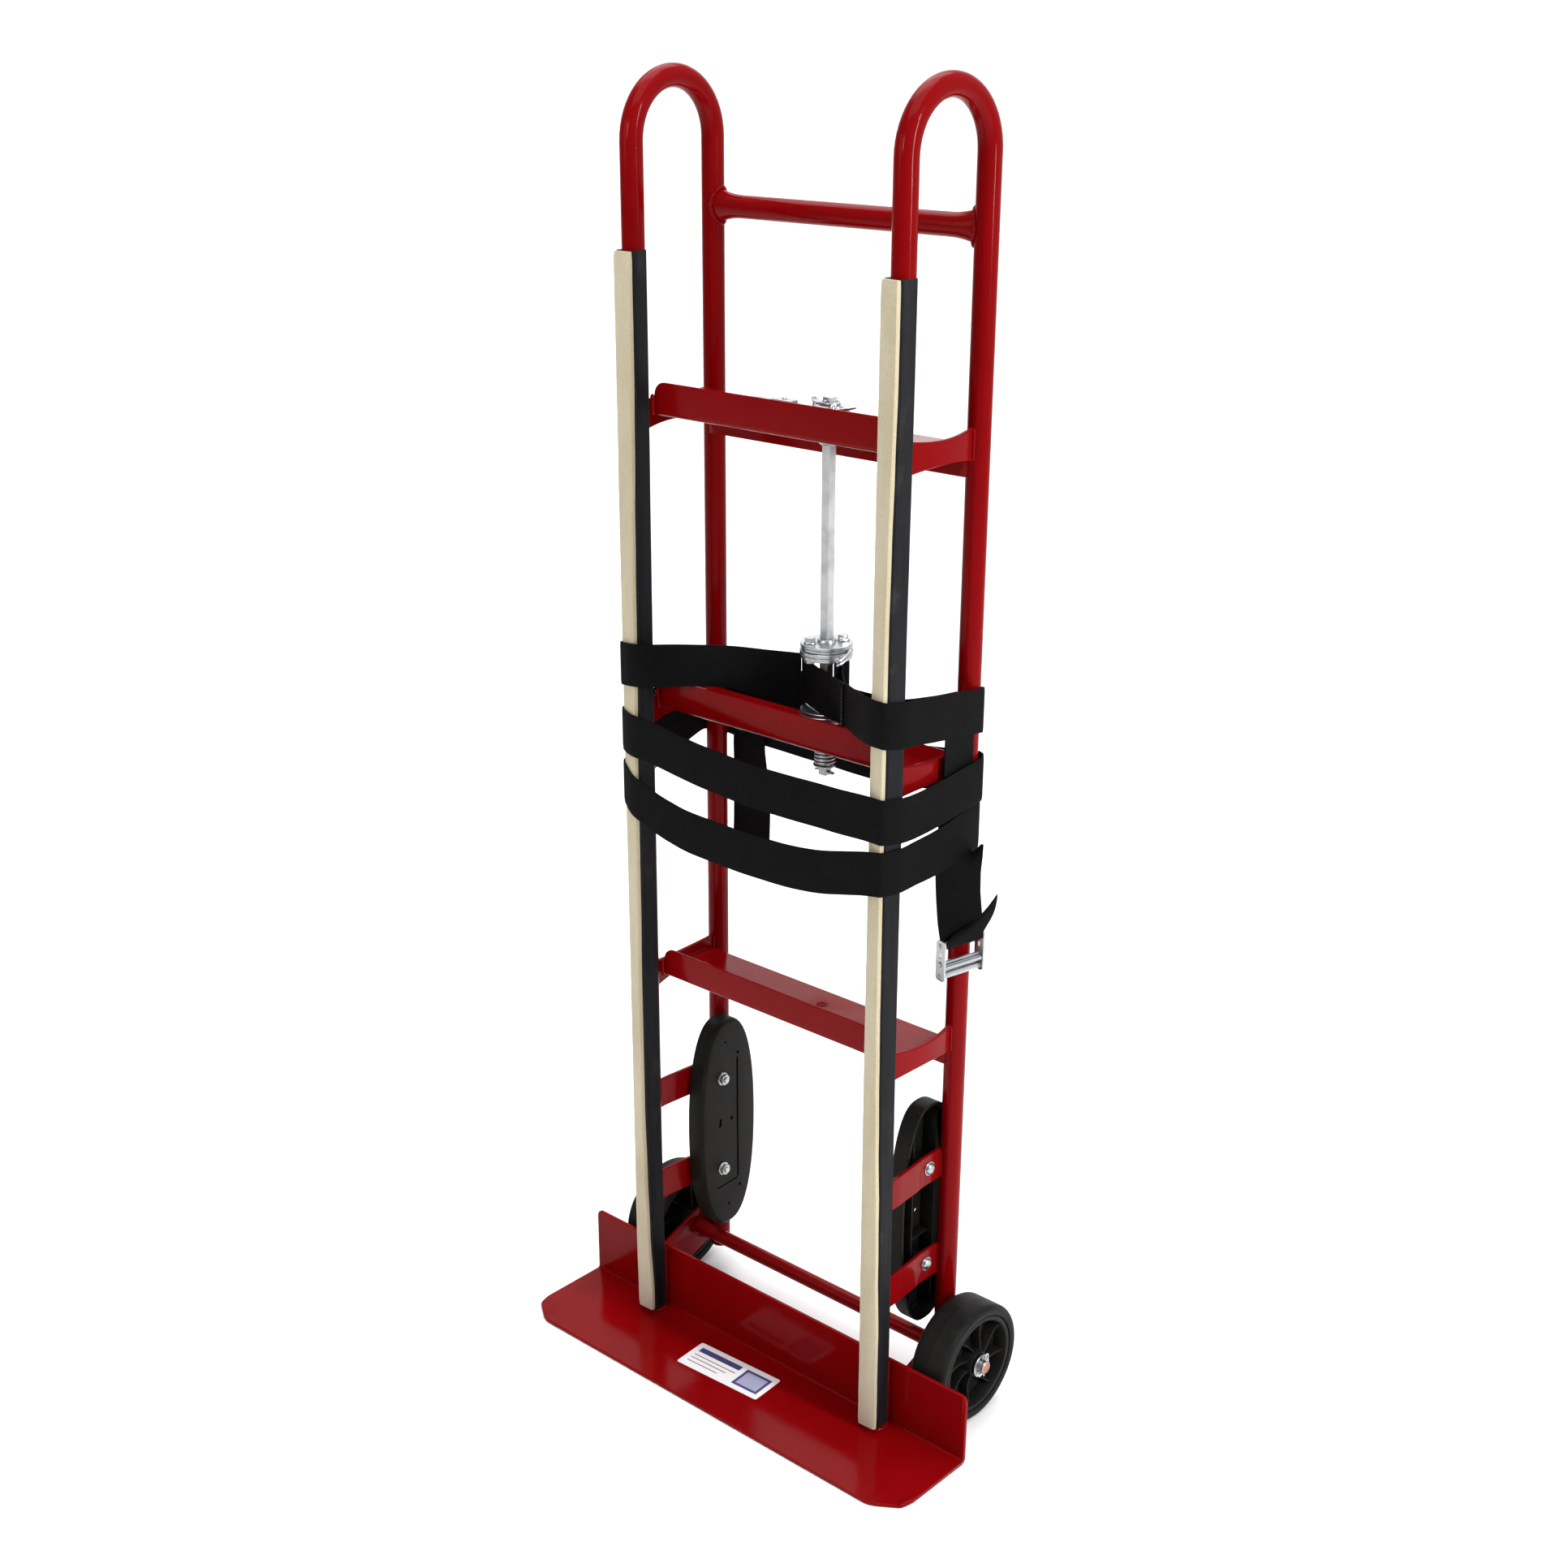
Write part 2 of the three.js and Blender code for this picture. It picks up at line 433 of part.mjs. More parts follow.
// ---------------------------------------------------------------- winch
{
  const h = SHAFT_SIDE / 2;
  const bar = boxAt(WINCH_X - h, WINCH_X + h, WINCH_Y - h, WINCH_Y + h, 771, 1196);
  put('winch_shaft', cut(bar, rod('x', 2.3, 0, 60, WINCH_Y, 775.5, 12)), zinc());
  put('shaft_cotter', rod('x', 2.0, WINCH_X - 14, WINCH_X + 14, WINCH_Y, 775.5, 10), zinc());
  const squareHole = (z0, z1) => boxAt(WINCH_X - h - GAP, WINCH_X + h + GAP, WINCH_Y - h - GAP, WINCH_Y + h + GAP, z0, z1);
  const pins = [[15.6, 63.6], [35.2, 97]];
  const [a, b, c, d] = SPOOL_Z;
  const pinHoles = pins.map(([x, y]) => rod('z', 3.9, 800, 960, x, y, 16));
  const upper = turned([[0, c], [SPOOL_R, c], [SPOOL_R, d], [0, d]], WINCH_X, WINCH_Y, 28);
  put('spool_upper_flange', cut(upper, squareHole(c - 5, d + 5), ...pinHoles), zinc());
  const lower = turned([[0, a - 11.5], [13, a - 11.5], [13, a], [SPOOL_R, a], [SPOOL_R, b], [0, b]], WINCH_X, WINCH_Y, 28);
  put('spool_lower_flange', cut(lower, squareHole(a - 20, b + 5), pinHoles[1]), zinc());
  pins.forEach(([x, y], i) => {
    // the front one only clamps the upper flange; the rear one carries the sewn end of the belt
    const bottom = i ? a : c;
    const p = unite(rod('z', 3.5, bottom - 5, d + 2, x, y, 16), rod('z', 6.8, d + GAP, d + 5.5, x, y, 6), rod('z', 6.8, bottom - 6, bottom - GAP, x, y, 6));
    put(i ? 'spool_pin_rear' : 'spool_pin_front', p, zinc());
  });
  put('winch_collar', turned([[8.5, 1138], [10.2, 1137], [11.6, 1141], [12.4, 1144], [12.4, MEMBER_Z[0] - GAP], [8.5, MEMBER_Z[0] - GAP]], WINCH_X, WINCH_Y, 24), zinc());
  put('rewind_spring', turned([[8.8, 782], [12.5, 782], [12.5, MEMBER_Z[1] - GAP], [8.8, MEMBER_Z[1] - GAP]], WINCH_X, WINCH_Y, 20), zinc());

  // ratchet wheel with saw teeth
  const teeth = 12, R1 = 26, R0 = 21.5, phase = 34 * Math.PI / 180;
  const outline = [];
  for (let i = 0; i < teeth; i++) {
    const t0 = phase + 2 * Math.PI * i / teeth, t1 = phase + 2 * Math.PI * (i + 0.88) / teeth;
    outline.push([WINCH_X + R0 * Math.cos(t0), WINCH_Y + R0 * Math.sin(t0)]);
    outline.push([WINCH_X + R1 * Math.cos(t1), WINCH_Y + R1 * Math.sin(t1)]);
  }
  put('ratchet_wheel', cut(slab(polygon(outline), 1169, 7), squareHole(1160, 1180)), zinc());

  // holding pawl: swings on a pin in the shelf, tip resting in a tooth, thumb lug beyond the pin
  const px = 68, py = 96;
  put('pawl_pin', unite(rod('z', 3.2, MEMBER_Z[0] + MEMBER_T + GAP, 1177.6, px, py, 16), rod('z', 6, MEMBER_Z[0] + MEMBER_T + GAP, 1168.4, px, py, 16)), zinc());
  const pawl = polygon([[44.2, 94.7], [60, 91.2], [70, 88.6], [77, 91], [93, 87.4], [96.5, 90.5], [95.5, 94], [79, 98.5], [73, 103.6], [62, 103], [44.9, 97.7]]);
  put('holding_pawl', cut(slab(pawl, 1169, 7), rod('z', 3.6, 1160, 1190, px, py, 16)), zinc());

  // ratchet handle: flat lever turning on the shaft above the wheel, with its boss, drive pawl rivet and thumb lug
  const lever = new THREE.Shape();
  lever.moveTo(WINCH_X, WINCH_Y + 22);
  lever.absarc(WINCH_X, WINCH_Y, 22, Math.PI / 2, -Math.PI / 2, true);
  lever.lineTo(WINCH_X - 30, WINCH_Y - 9);
  lever.lineTo(-80, WINCH_Y - 9);
  lever.absarc(-80, WINCH_Y, 9, -Math.PI / 2, -Math.PI * 1.5, true);
  lever.lineTo(WINCH_X - 30, WINCH_Y + 9);
  lever.closePath();
  const arm = slab(lever, 1178.6, 5, 10);
  const stiffener = slab(rounded([[-53, WINCH_Y - 6.5], [-25, WINCH_Y - 6.5], [-25, WINCH_Y + 6.5], [-53, WINCH_Y + 6.5]], 4), 1183, 2.6, 5);
  const boss = rod('z', 16, 1183, 1190, WINCH_X, WINCH_Y, 28);
  const rivet = rod('z', 5, 1183, 1192, 5.4, WINCH_Y, 16);
  const lug = slab(polygon([[38, 74], [62.6, 77.5], [62.6, 82], [47, 93], [38, 92]]), 1179, 8.6);
  put('ratchet_handle', cut(unite(arm, stiffener, boss, rivet, lug), rod('z', 8.3, 1170, 1200, WINCH_X, WINCH_Y, 24)), zinc());
}

// ---------------------------------------------------------------- belt
{
  // webbing passing in front of the shaft, carried round by the spool
  put('belt_on_spool', band([[-9.4, 81.6, 850.6], [4, 74.6, 850.6], [28, 63.2, 850.6], [50.2, 55, 850.6]]), webbing());

  // rounds a corner of the frame: plan centre, radius, start and end angle, lower edge z at both ends
  const round = (cx, cy, r, a0, a1, z0, z1, n = 6) => Array.from({ length: n + 1 }, (_, i) => {
    const a = (a0 + (a1 - a0) * i / n) * Math.PI / 180;
    return [cx + r * Math.cos(a), cy + r * Math.sin(a), z0 + (z1 - z0) * i / n];
  });
  const rearCorner = (side, layer, a0, a1, z0, z1) => round(side * REAR_X, REAR_Y, [14.1, 16.7, 19.3][layer], a0, a1, z0, z1);
  const frontCorner = (side, a0, a1, z0, z1) => round(side * 194.4, -16.2, 5, a0, a1, z0, z1, 4);

  // left run: spool, over the shelf flange, round the left pad, along the side, round the left rear leg
  put('belt_left_run', band([
    [-13.2, 83.2, 851.5], [-60, 51, 856], [-100, 26, 860.4], [-125, 11.5, 860.4], [-168.5, -21.2, 857],
    ...frontCorner(-1, 270, 180, 855.5, 852), [-199.9, 28, 839], [-200.3, 60, 828], [-201.1, 118, 809],
    ...rearCorner(-1, 0, 180, 90, 806, 801), [-173.2, REAR_Y + 14.1, 800],
  ]), webbing());

  // main run: spool, right pad, then two more full turns round both rails
  put('belt_wraps', band([
    [54.6, 52.3, 850.6], [78, 36.5, 856], [97, 23, 860.4], [118, 12, 861], [150, -5.5, 863], [168.5, -21.2, 865.3],
    ...frontCorner(1, -90, 0, 865.5, 862.5), [199.9, 10, 861], [203, 60, 857], [203.7, 118, 850.5],
    ...rearCorner(1, 1, 0, 90, 849, 843),
    [157, 144.7, 831], [120, 144.7, 817], [80, 144.7, 805.5], [40, 144.7, 803.5], [0, 144.7, 804.5], [-80, 144.7, 809],
    ...rearCorner(-1, 1, 90, 180, 808, 804), [-203.7, 118, 802], [-203.4, 60, 789], [-202.1, 28, 782], [-199.6, -6, 775.5],
    ...frontCorner(-1, 180, 270, 774, 771), [-135, -21.5, 768], [-64, -19.6, 757], [0, -17.6, 752], [60, -15.6, 752], [120, -19, 755], [170, -21.2, 758],
    ...frontCorner(1, -90, 0, 758.5, 757), [199.9, 10, 756], [203, 60, 759], [203.7, 118, 765],
    ...rearCorner(1, 1, 0, 90, 766, 767),
    [137, 144.7, 760], [90, 144.7, 753.5], [45, 144.7, 751], [-35, 144.9, 752], [-118, 146.3, 753],
    ...rearCorner(-1, 2, 90, 180, 756, 761.5), [-206.3, 118, 761], [-206, 89, 752], [-205.9, 60, 743], [-205, 28, 731], [-200.4, -6, 714],
    ...frontCorner(-1, 180, 270, 711, 704.5), [-155, -21.3, 684], [-90, -21.1, 674], [-27, -20.6, 671], [40, -20.6, 672], [94, -20.9, 677], [150, -21.2, 691], [175, -21.2, 696.5],
    ...frontCorner(1, -90, 0, 699, 700), [199.9, 10, 700], [203, 60, 702], [203.7, 118, 709],
    ...rearCorner(1, 1, 0, 90, 710.5, 713), [140, 144.7, 713.5],
  ]), webbing());

  const V = (x, y, z) => new THREE.Vector3(x, y, z);
  // loose end: folded down from the left run, hanging inside the wraps at the rear
  const w = (deg) => V(Math.cos(deg * Math.PI / 180), Math.sin(deg * Math.PI / 180), 0);
  const m = (deg) => V(-Math.sin(deg * Math.PI / 180), Math.cos(deg * Math.PI / 180), 0);
  put('belt_loose_end', webbingStrip([
    { c: V(-147, 142.1, 850), w: w(0), n: m(0) }, { c: V(-147, 142.1, 752), w: w(0), n: m(0) }, { c: V(-147, 143.1, 722), w: w(6), n: m(6) },
    { c: V(-147, 144.5, 680), w: w(11), n: m(11) }, { c: V(-147, 145.5, 603), w: w(12), n: m(12) },
  ], BELT_W, BELT_T), webbing());

  // tail: under the wraps on the right side, then hanging to the buckle
  const dir = (deg) => V(Math.cos(deg * Math.PI / 180), Math.sin(deg * Math.PI / 180), 0);
  const nrm = (deg) => V(Math.sin(deg * Math.PI / 180), -Math.cos(deg * Math.PI / 180), 0);
  put('belt_tail', webbingStrip([
    { c: V(201.1, 95, 898), w: dir(90), n: nrm(90) }, { c: V(201.1, 95, 820), w: dir(90), n: nrm(90) }, { c: V(201.1, 95, 700), w: dir(90), n: nrm(90) },
    { c: V(202.2, 97, 688), w: dir(80), n: nrm(80) }, { c: V(203.6, 101, 672), w: dir(64), n: nrm(64) }, { c: V(205, 104, 648), w: dir(64), n: nrm(64) }, { c: V(206, 105, 620), w: dir(77.4), n: nrm(77.4) },
  ], BELT_W, BELT_T), webbing());
}

// ---------------------------------------------------------------- buckle
{
  // built about its own centre, width along local X, then turned into place
  const place = (g) => { g.rotateZ(77.4 * Math.PI / 180); g.translate(206, 105, 593); return g; };
  const plate = (x0) => {
    const s = rounded([[-7.5, -24.5], [7.5, -24.5], [7.5, 24.5], [-7.5, 24.5]], 4);
    return sideSlab(s, x0, 2.2, 4);
  };
  // frame: two side plates joined by the strap bar and the base bar
  const strapBar = rod('x', 3.6, -28, 28, 0, 18.5, 16);
  const baseBar = rod('x', 3.0, -28, 28, 0, -19.5, 16);
  const pinHole = rod('x', 3.3, -40, 40, 0, -4, 16);
  put('buckle_frame', place(cut(unite(plate(-29.2), plate(27), strapBar, baseBar), pinHole)), zinc());
  // fluted cam turning in the side plates
  const flutes = [];
  for (let i = 0; i < 24; i++) { const a = 2 * Math.PI * i / 24, r = i % 2 ? 8.4 : 7.3; flutes.push([r * Math.cos(a), -4 + r * Math.sin(a)]); }
  put('buckle_cam', place(unite(sideSlab(polygon(flutes), -26.5, 53), rod('x', 2.9, -30.5, 30.5, 0, -4, 16))), zinc());
}

// ---------------------------------------------------------------- label
{
  const g = new THREE.BoxGeometry(127, 50, 0.4);
  g.rotateZ(3.2 * Math.PI / 180);
  g.translate(-17, -40.5, PLATE_T + 0.15 + 0.2);
  put('toe_plate_label', g, labelStock());
}

export default root;
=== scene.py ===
import bpy, bmesh, json, math, random
from mathutils import Vector, Matrix


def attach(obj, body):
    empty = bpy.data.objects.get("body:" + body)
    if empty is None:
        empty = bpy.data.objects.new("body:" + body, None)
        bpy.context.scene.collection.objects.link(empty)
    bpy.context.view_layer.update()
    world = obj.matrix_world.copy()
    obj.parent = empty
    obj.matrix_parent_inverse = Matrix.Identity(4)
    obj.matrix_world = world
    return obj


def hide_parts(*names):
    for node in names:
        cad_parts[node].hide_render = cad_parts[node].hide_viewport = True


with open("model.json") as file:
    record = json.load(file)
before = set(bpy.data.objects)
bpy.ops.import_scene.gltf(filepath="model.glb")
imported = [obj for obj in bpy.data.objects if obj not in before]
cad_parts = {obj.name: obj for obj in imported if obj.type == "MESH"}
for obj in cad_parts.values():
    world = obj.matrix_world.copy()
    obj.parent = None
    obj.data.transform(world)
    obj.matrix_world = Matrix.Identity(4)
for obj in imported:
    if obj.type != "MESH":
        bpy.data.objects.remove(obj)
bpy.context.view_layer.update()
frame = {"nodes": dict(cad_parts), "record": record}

MM = 0.001
pi = math.pi
V = Vector
scene = bpy.context.scene
scene.view_settings.view_transform = "Standard"
scene.view_settings.look = "None"

# ------------------------------------------------------------------ camera, floor, lights
def look_matrix(az, pitch, roll):
    a, p, r = math.radians(az), math.radians(pitch), math.radians(roll)
    fwd = V((-math.sin(a) * math.cos(p), math.cos(a) * math.cos(p), -math.sin(p)))
    right = V((math.cos(a), math.sin(a), 0))
    up = right.cross(fwd)
    r2 = right * math.cos(r) + up * math.sin(r)
    u2 = -right * math.sin(r) + up * math.cos(r)
    m = Matrix((r2, u2, -fwd)).transposed()
    return m.to_4x4()

cam_data = bpy.data.cameras.new("camera")
cam = bpy.data.objects.new("camera", cam_data)
scene.collection.objects.link(cam)
cam.matrix_world = Matrix.Translation(V((1.5043, -1.6695, 1.5997))) @ look_matrix(42.98, 22.32, -0.32)
cam_data.sensor_fit = "HORIZONTAL"
cam_data.sensor_width = 36.0
cam_data.lens = 2643.2 / 1932 * 36.0
cam_data.shift_x = (966 - 896.46) / 1932
cam_data.shift_y = (1065.83 - 966) / 1932
cam_data.clip_start = 0.01
cam_data.clip_end = 100
scene.camera = cam

def principled(name):
    m = bpy.data.materials.new(name)
    m.use_nodes = True
    nt = m.node_tree
    return m, nt, nt.nodes["Principled BSDF"]

def node(nt, kind, **kw):
    n = nt.nodes.new(kind)
    for k, v in kw.items():
        if k == "inputs":
            for i, val in v.items():
                n.inputs[i].default_value = val
        else:
            setattr(n, k, v)
    return n

def math_node(nt, op, a, b=None, clamp=False):
    n = nt.nodes.new("ShaderNodeMath")
    n.operation = op
    n.use_clamp = clamp
    for i, v in enumerate((a, b)):
        if v is None:
            continue
        if isinstance(v, (int, float)):
            n.inputs[i].default_value = v
        else:
            nt.links.new(v, n.inputs[i])
    return n.outputs[0]

def ramp(nt, fac, stops, interpolation="LINEAR"):
    n = nt.nodes.new("ShaderNodeValToRGB")
    n.color_ramp.interpolation = interpolation
    while len(n.color_ramp.elements) < len(stops):
        n.color_ramp.elements.new(0.5)
    for e, (p, c) in zip(n.color_ramp.elements, stops):
        e.position = p
        e.color = (*c, 1) if len(c) == 3 else c
    nt.links.new(fac, n.inputs[0])
    return n.outputs[0]

def mapped(nt, scale=(1, 1, 1), kind="Object", rot=(0, 0, 0)):
    tc = nt.nodes.new("ShaderNodeTexCoord")
    mp = nt.nodes.new("ShaderNodeMapping")
    mp.inputs["Scale"].default_value = scale
    mp.inputs["Rotation"].default_value = rot
    nt.links.new(tc.outputs[kind], mp.inputs["Vector"])
    return mp.outputs[0]

def noise(nt, vec, scale, detail=3.0, rough=0.55, distortion=0.0):
    n = nt.nodes.new("ShaderNodeTexNoise")
    n.inputs["Scale"].default_value = scale
    n.inputs["Detail"].default_value = detail
    n.inputs["Roughness"].default_value = rough
    n.inputs["Distortion"].default_value = distortion
    nt.links.new(vec, n.inputs["Vector"])
    return n.outputs["Fac"]

def bump(nt, height, strength, distance, normal=None):
    n = nt.nodes.new("ShaderNodeBump")
    n.inputs["Strength"].default_value = strength
    n.inputs["Distance"].default_value = distance
    nt.links.new(height, n.inputs["Height"])
    if normal is not None:
        nt.links.new(normal, n.inputs["Normal"])
    return n.outputs[0]

def mix_rgb(nt, fac, a, b, mode="MIX"):
    n = nt.nodes.new("ShaderNodeMix")
    n.data_type = "RGBA"
    n.blend_type = mode
    for i, v in ((0, fac), (6, a), (7, b)):
        if isinstance(v, (int, float)):
            n.inputs[i].default_value = v
        elif isinstance(v, tuple):
            n.inputs[i].default_value = (*v, 1)
        else:
            nt.links.new(v, n.inputs[i])
    return n.outputs[2]

# ------------------------------------------------------------------ materials
def mat_red():
    m, nt, b = principled("red_powder_coat")
    L = nt.links.new
    vec = mapped(nt)
    broad = noise(nt, vec, 5.0, 4)
    fine = noise(nt, vec, 60.0, 3)
    col = ramp(nt, broad, [(0.30, (0.158, 0.0007, 0.0014)), (0.55, (0.180, 0.0010, 0.0019)), (0.75, (0.200, 0.0015, 0.0028))])
    # rubbed dust and light scuffs, strongest in small patches
    scuff = noise(nt, mapped(nt, (1, 1, 0.35)), 34.0, 6, 0.72, 0.6)
    mask = ramp(nt, scuff, [(0.60, (0, 0, 0)), (0.78, (1, 1, 1))])
    col = mix_rgb(nt, math_node(nt, "MULTIPLY", mask, 0.06), col, (0.26, 0.028, 0.028))
    # thin paint along exposed edges
    geo = nt.nodes.new("ShaderNodeNewGeometry")
    edge = ramp(nt, geo.outputs["Pointiness"], [(0.535, (0, 0, 0)), (0.60, (1, 1, 1))])
    edge = math_node(nt, "MULTIPLY", edge, math_node(nt, "MULTIPLY", fine, 0.30))
    col = mix_rgb(nt, edge, col, (0.25, 0.016, 0.018))
    L(col, b.inputs["Base Color"])
    r = math_node(nt, "ADD", math_node(nt, "MULTIPLY", fine, 0.07), 0.09)
    r = math_node(nt, "ADD", r, math_node(nt, "MULTIPLY", mask, 0.12))
    L(r, b.inputs["Roughness"])
    peel = noise(nt, vec, 330.0, 2, 0.5)
    wave = noise(nt, vec, 85.0, 2, 0.5)
    h = math_node(nt, "ADD", math_node(nt, "MULTIPLY", peel, 0.5), wave)
    L(bump(nt, h, 0.16, 0.0006), b.inputs["Normal"])
    b.inputs["Specular IOR Level"].default_value = 0.065
    return m

def mat_zinc(name="zinc_plate", tint=(0.45, 0.47, 0.49), rough=0.27, dull=0.0):
    m, nt, b = principled(name)
    L = nt.links.new
    vec = mapped(nt)
    n1 = noise(nt, vec, 45.0, 5, 0.6)
    n2 = noise(nt, vec, 260.0, 3, 0.6)
    t = tint
    col = ramp(nt, n1, [(0.32, tuple(c * 0.80 for c in t)), (0.5, t), (0.66, (t[0] * 1.06, t[1] * 1.03, t[2] * 0.97)), (0.80, (t[0] * 0.93, t[1] * 0.98, t[2] * 1.09))])
    spots = ramp(nt, noise(nt, vec, 120.0, 4, 0.75), [(0.60, (0, 0, 0)), (0.72, (1, 1, 1))])
    col = mix_rgb(nt, math_node(nt, "MULTIPLY", spots, 0.20), col, (0.34, 0.33, 0.31))
    L(col, b.inputs["Base Color"])
    b.inputs["Metallic"].default_value = 1.0
    r = math_node(nt, "ADD", math_node(nt, "MULTIPLY", n1, 0.22), rough - 0.08)
    r = math_node(nt, "ADD", r, math_node(nt, "MULTIPLY", spots, 0.2))
    L(r, b.inputs["Roughness"])
    h = math_node(nt, "ADD", n2, math_node(nt, "MULTIPLY", n1, 0.6))
    L(bump(nt, h, 0.035, 0.0003), b.inputs["Normal"])
    return m

def mat_rusty():
    m, nt, b = principled("bare_axle_steel")
    L = nt.links.new
    vec = mapped(nt)
    n1 = noise(nt, vec, 160.0, 6, 0.7)
    geo = nt.nodes.new("ShaderNodeNewGeometry")
    sep = nt.nodes.new("ShaderNodeSeparateXYZ")
    L(geo.outputs["Normal"], sep.inputs[0])
    cut_face = math_node(nt, "POWER", math_node(nt, "ABSOLUTE", sep.outputs[0]), 6.0)
    f = math_node(nt, "MULTIPLY", cut_face, math_node(nt, "ADD", math_node(nt, "MULTIPLY", n1, 1.4), 0.05), clamp=True)
    steel = ramp(nt, n1, [(0.3, (0.30, 0.27, 0.24)), (0.7, (0.52, 0.50, 0.48))])
    rust = ramp(nt, noise(nt, vec, 420.0, 4, 0.7), [(0.3, (0.12, 0.035, 0.012)), (0.55, (0.34, 0.11, 0.03)), (0.8, (0.45, 0.19, 0.07))])
    L(mix_rgb(nt, f, steel, rust), b.inputs["Base Color"])
    L(math_node(nt, "SUBTRACT", 0.95, f, clamp=True), b.inputs["Metallic"])
    L(math_node(nt, "ADD", math_node(nt, "MULTIPLY", f, 0.45), 0.32), b.inputs["Roughness"])
    L(bump(nt, n1, 0.35, 0.0006), b.inputs["Normal"])
    return m

def mat_vinyl():
    m, nt, b = principled("pad_vinyl")
    L = nt.links.new
    n1 = noise(nt, mapped(nt, (1, 1, 0.12)), 90.0, 4, 0.6)
    lines = noise(nt, mapped(nt, (1, 1, 0.008)), 620.0, 3, 0.6)
    col = ramp(nt, n1, [(0.3, (0.0050, 0.0053, 0.0066)), (0.7, (0.0105, 0.0110, 0.0135))])
    dust = ramp(nt, noise(nt, mapped(nt, (1, 1, 0.5)), 26.0, 6, 0.7), [(0.56, (0, 0, 0)), (0.80, (1, 1, 1))])
    col = mix_rgb(nt, math_node(nt, "MULTIPLY", dust, 0.10), col, (0.20, 0.19, 0.17))
    L(col, b.inputs["Base Color"])
    L(math_node(nt, "ADD", math_node(nt, "MULTIPLY", lines, 0.22), 0.40), b.inputs["Roughness"])
    b.inputs["Specular IOR Level"].default_value = 0.12
    grain = noise(nt, mapped(nt), 900.0, 2, 0.5)
    h = math_node(nt, "ADD", lines, math_node(nt, "MULTIPLY", grain, 0.5))
    L(bump(nt, h, 0.25, 0.0004), b.inputs["Normal"])
    return m

def mat_felt():
    m, nt, b = principled("pad_felt")
    L = nt.links.new
    broad = noise(nt, mapped(nt, (1, 1, 0.30)), 22.0, 5, 0.6)
    streak = noise(nt, mapped(nt, (1, 1, 0.05)), 300.0, 4, 0.65)
    fibre = noise(nt, mapped(nt, (1, 1, 0.45)), 1500.0, 4, 0.7, 1.2)
    col = ramp(nt, broad, [(0.28, (0.545, 0.465, 0.300)), (0.52, (0.650, 0.572, 0.395)), (0.78, (0.725, 0.655, 0.480))])
    col = mix_rgb(nt, math_node(nt, "MULTIPLY", streak, 0.45), col, (0.51, 0.43, 0.27))
    dark = ramp(nt, fibre, [(0.36, (0.62, 0.60, 0.56)), (0.60, (1, 1, 1))])
    col = mix_rgb(nt, 0.75, col, dark, "MULTIPLY")
    # painted reflection of the red toe plate: the felt turns pinkish grey towards the foot
    pos = nt.nodes.new("ShaderNodeTexCoord")
    sep = nt.nodes.new("ShaderNodeSeparateXYZ")
    L(pos.outputs["Object"], sep.inputs[0])
    low = math_node(nt, "SUBTRACT", 1.0, math_node(nt, "MULTIPLY", sep.outputs[2], 4.2), clamp=True)
    low = math_node(nt, "MULTIPLY", low, math_node(nt, "ADD", math_node(nt, "MULTIPLY", broad, 0.7), 0.15))
    col = mix_rgb(nt, low, col, (0.50, 0.43, 0.36))
    L(col, b.inputs["Base Color"])
    b.inputs["Roughness"].default_value = 0.95
    L(math_node(nt, "ADD", math_node(nt, "MULTIPLY", fibre, 0.12), 0.84), b.inputs["Roughness"])
    b.inputs["Sheen Weight"].default_value = 0.35
    b.inputs["Sheen Roughness"].default_value = 0.5
    b.inputs["Specular IOR Level"].default_value = 0.15
    h = math_node(nt, "ADD", fibre, math_node(nt, "MULTIPLY", streak, 0.6))
    L(bump(nt, h, 0.75, 0.0009), b.inputs["Normal"])
    return m

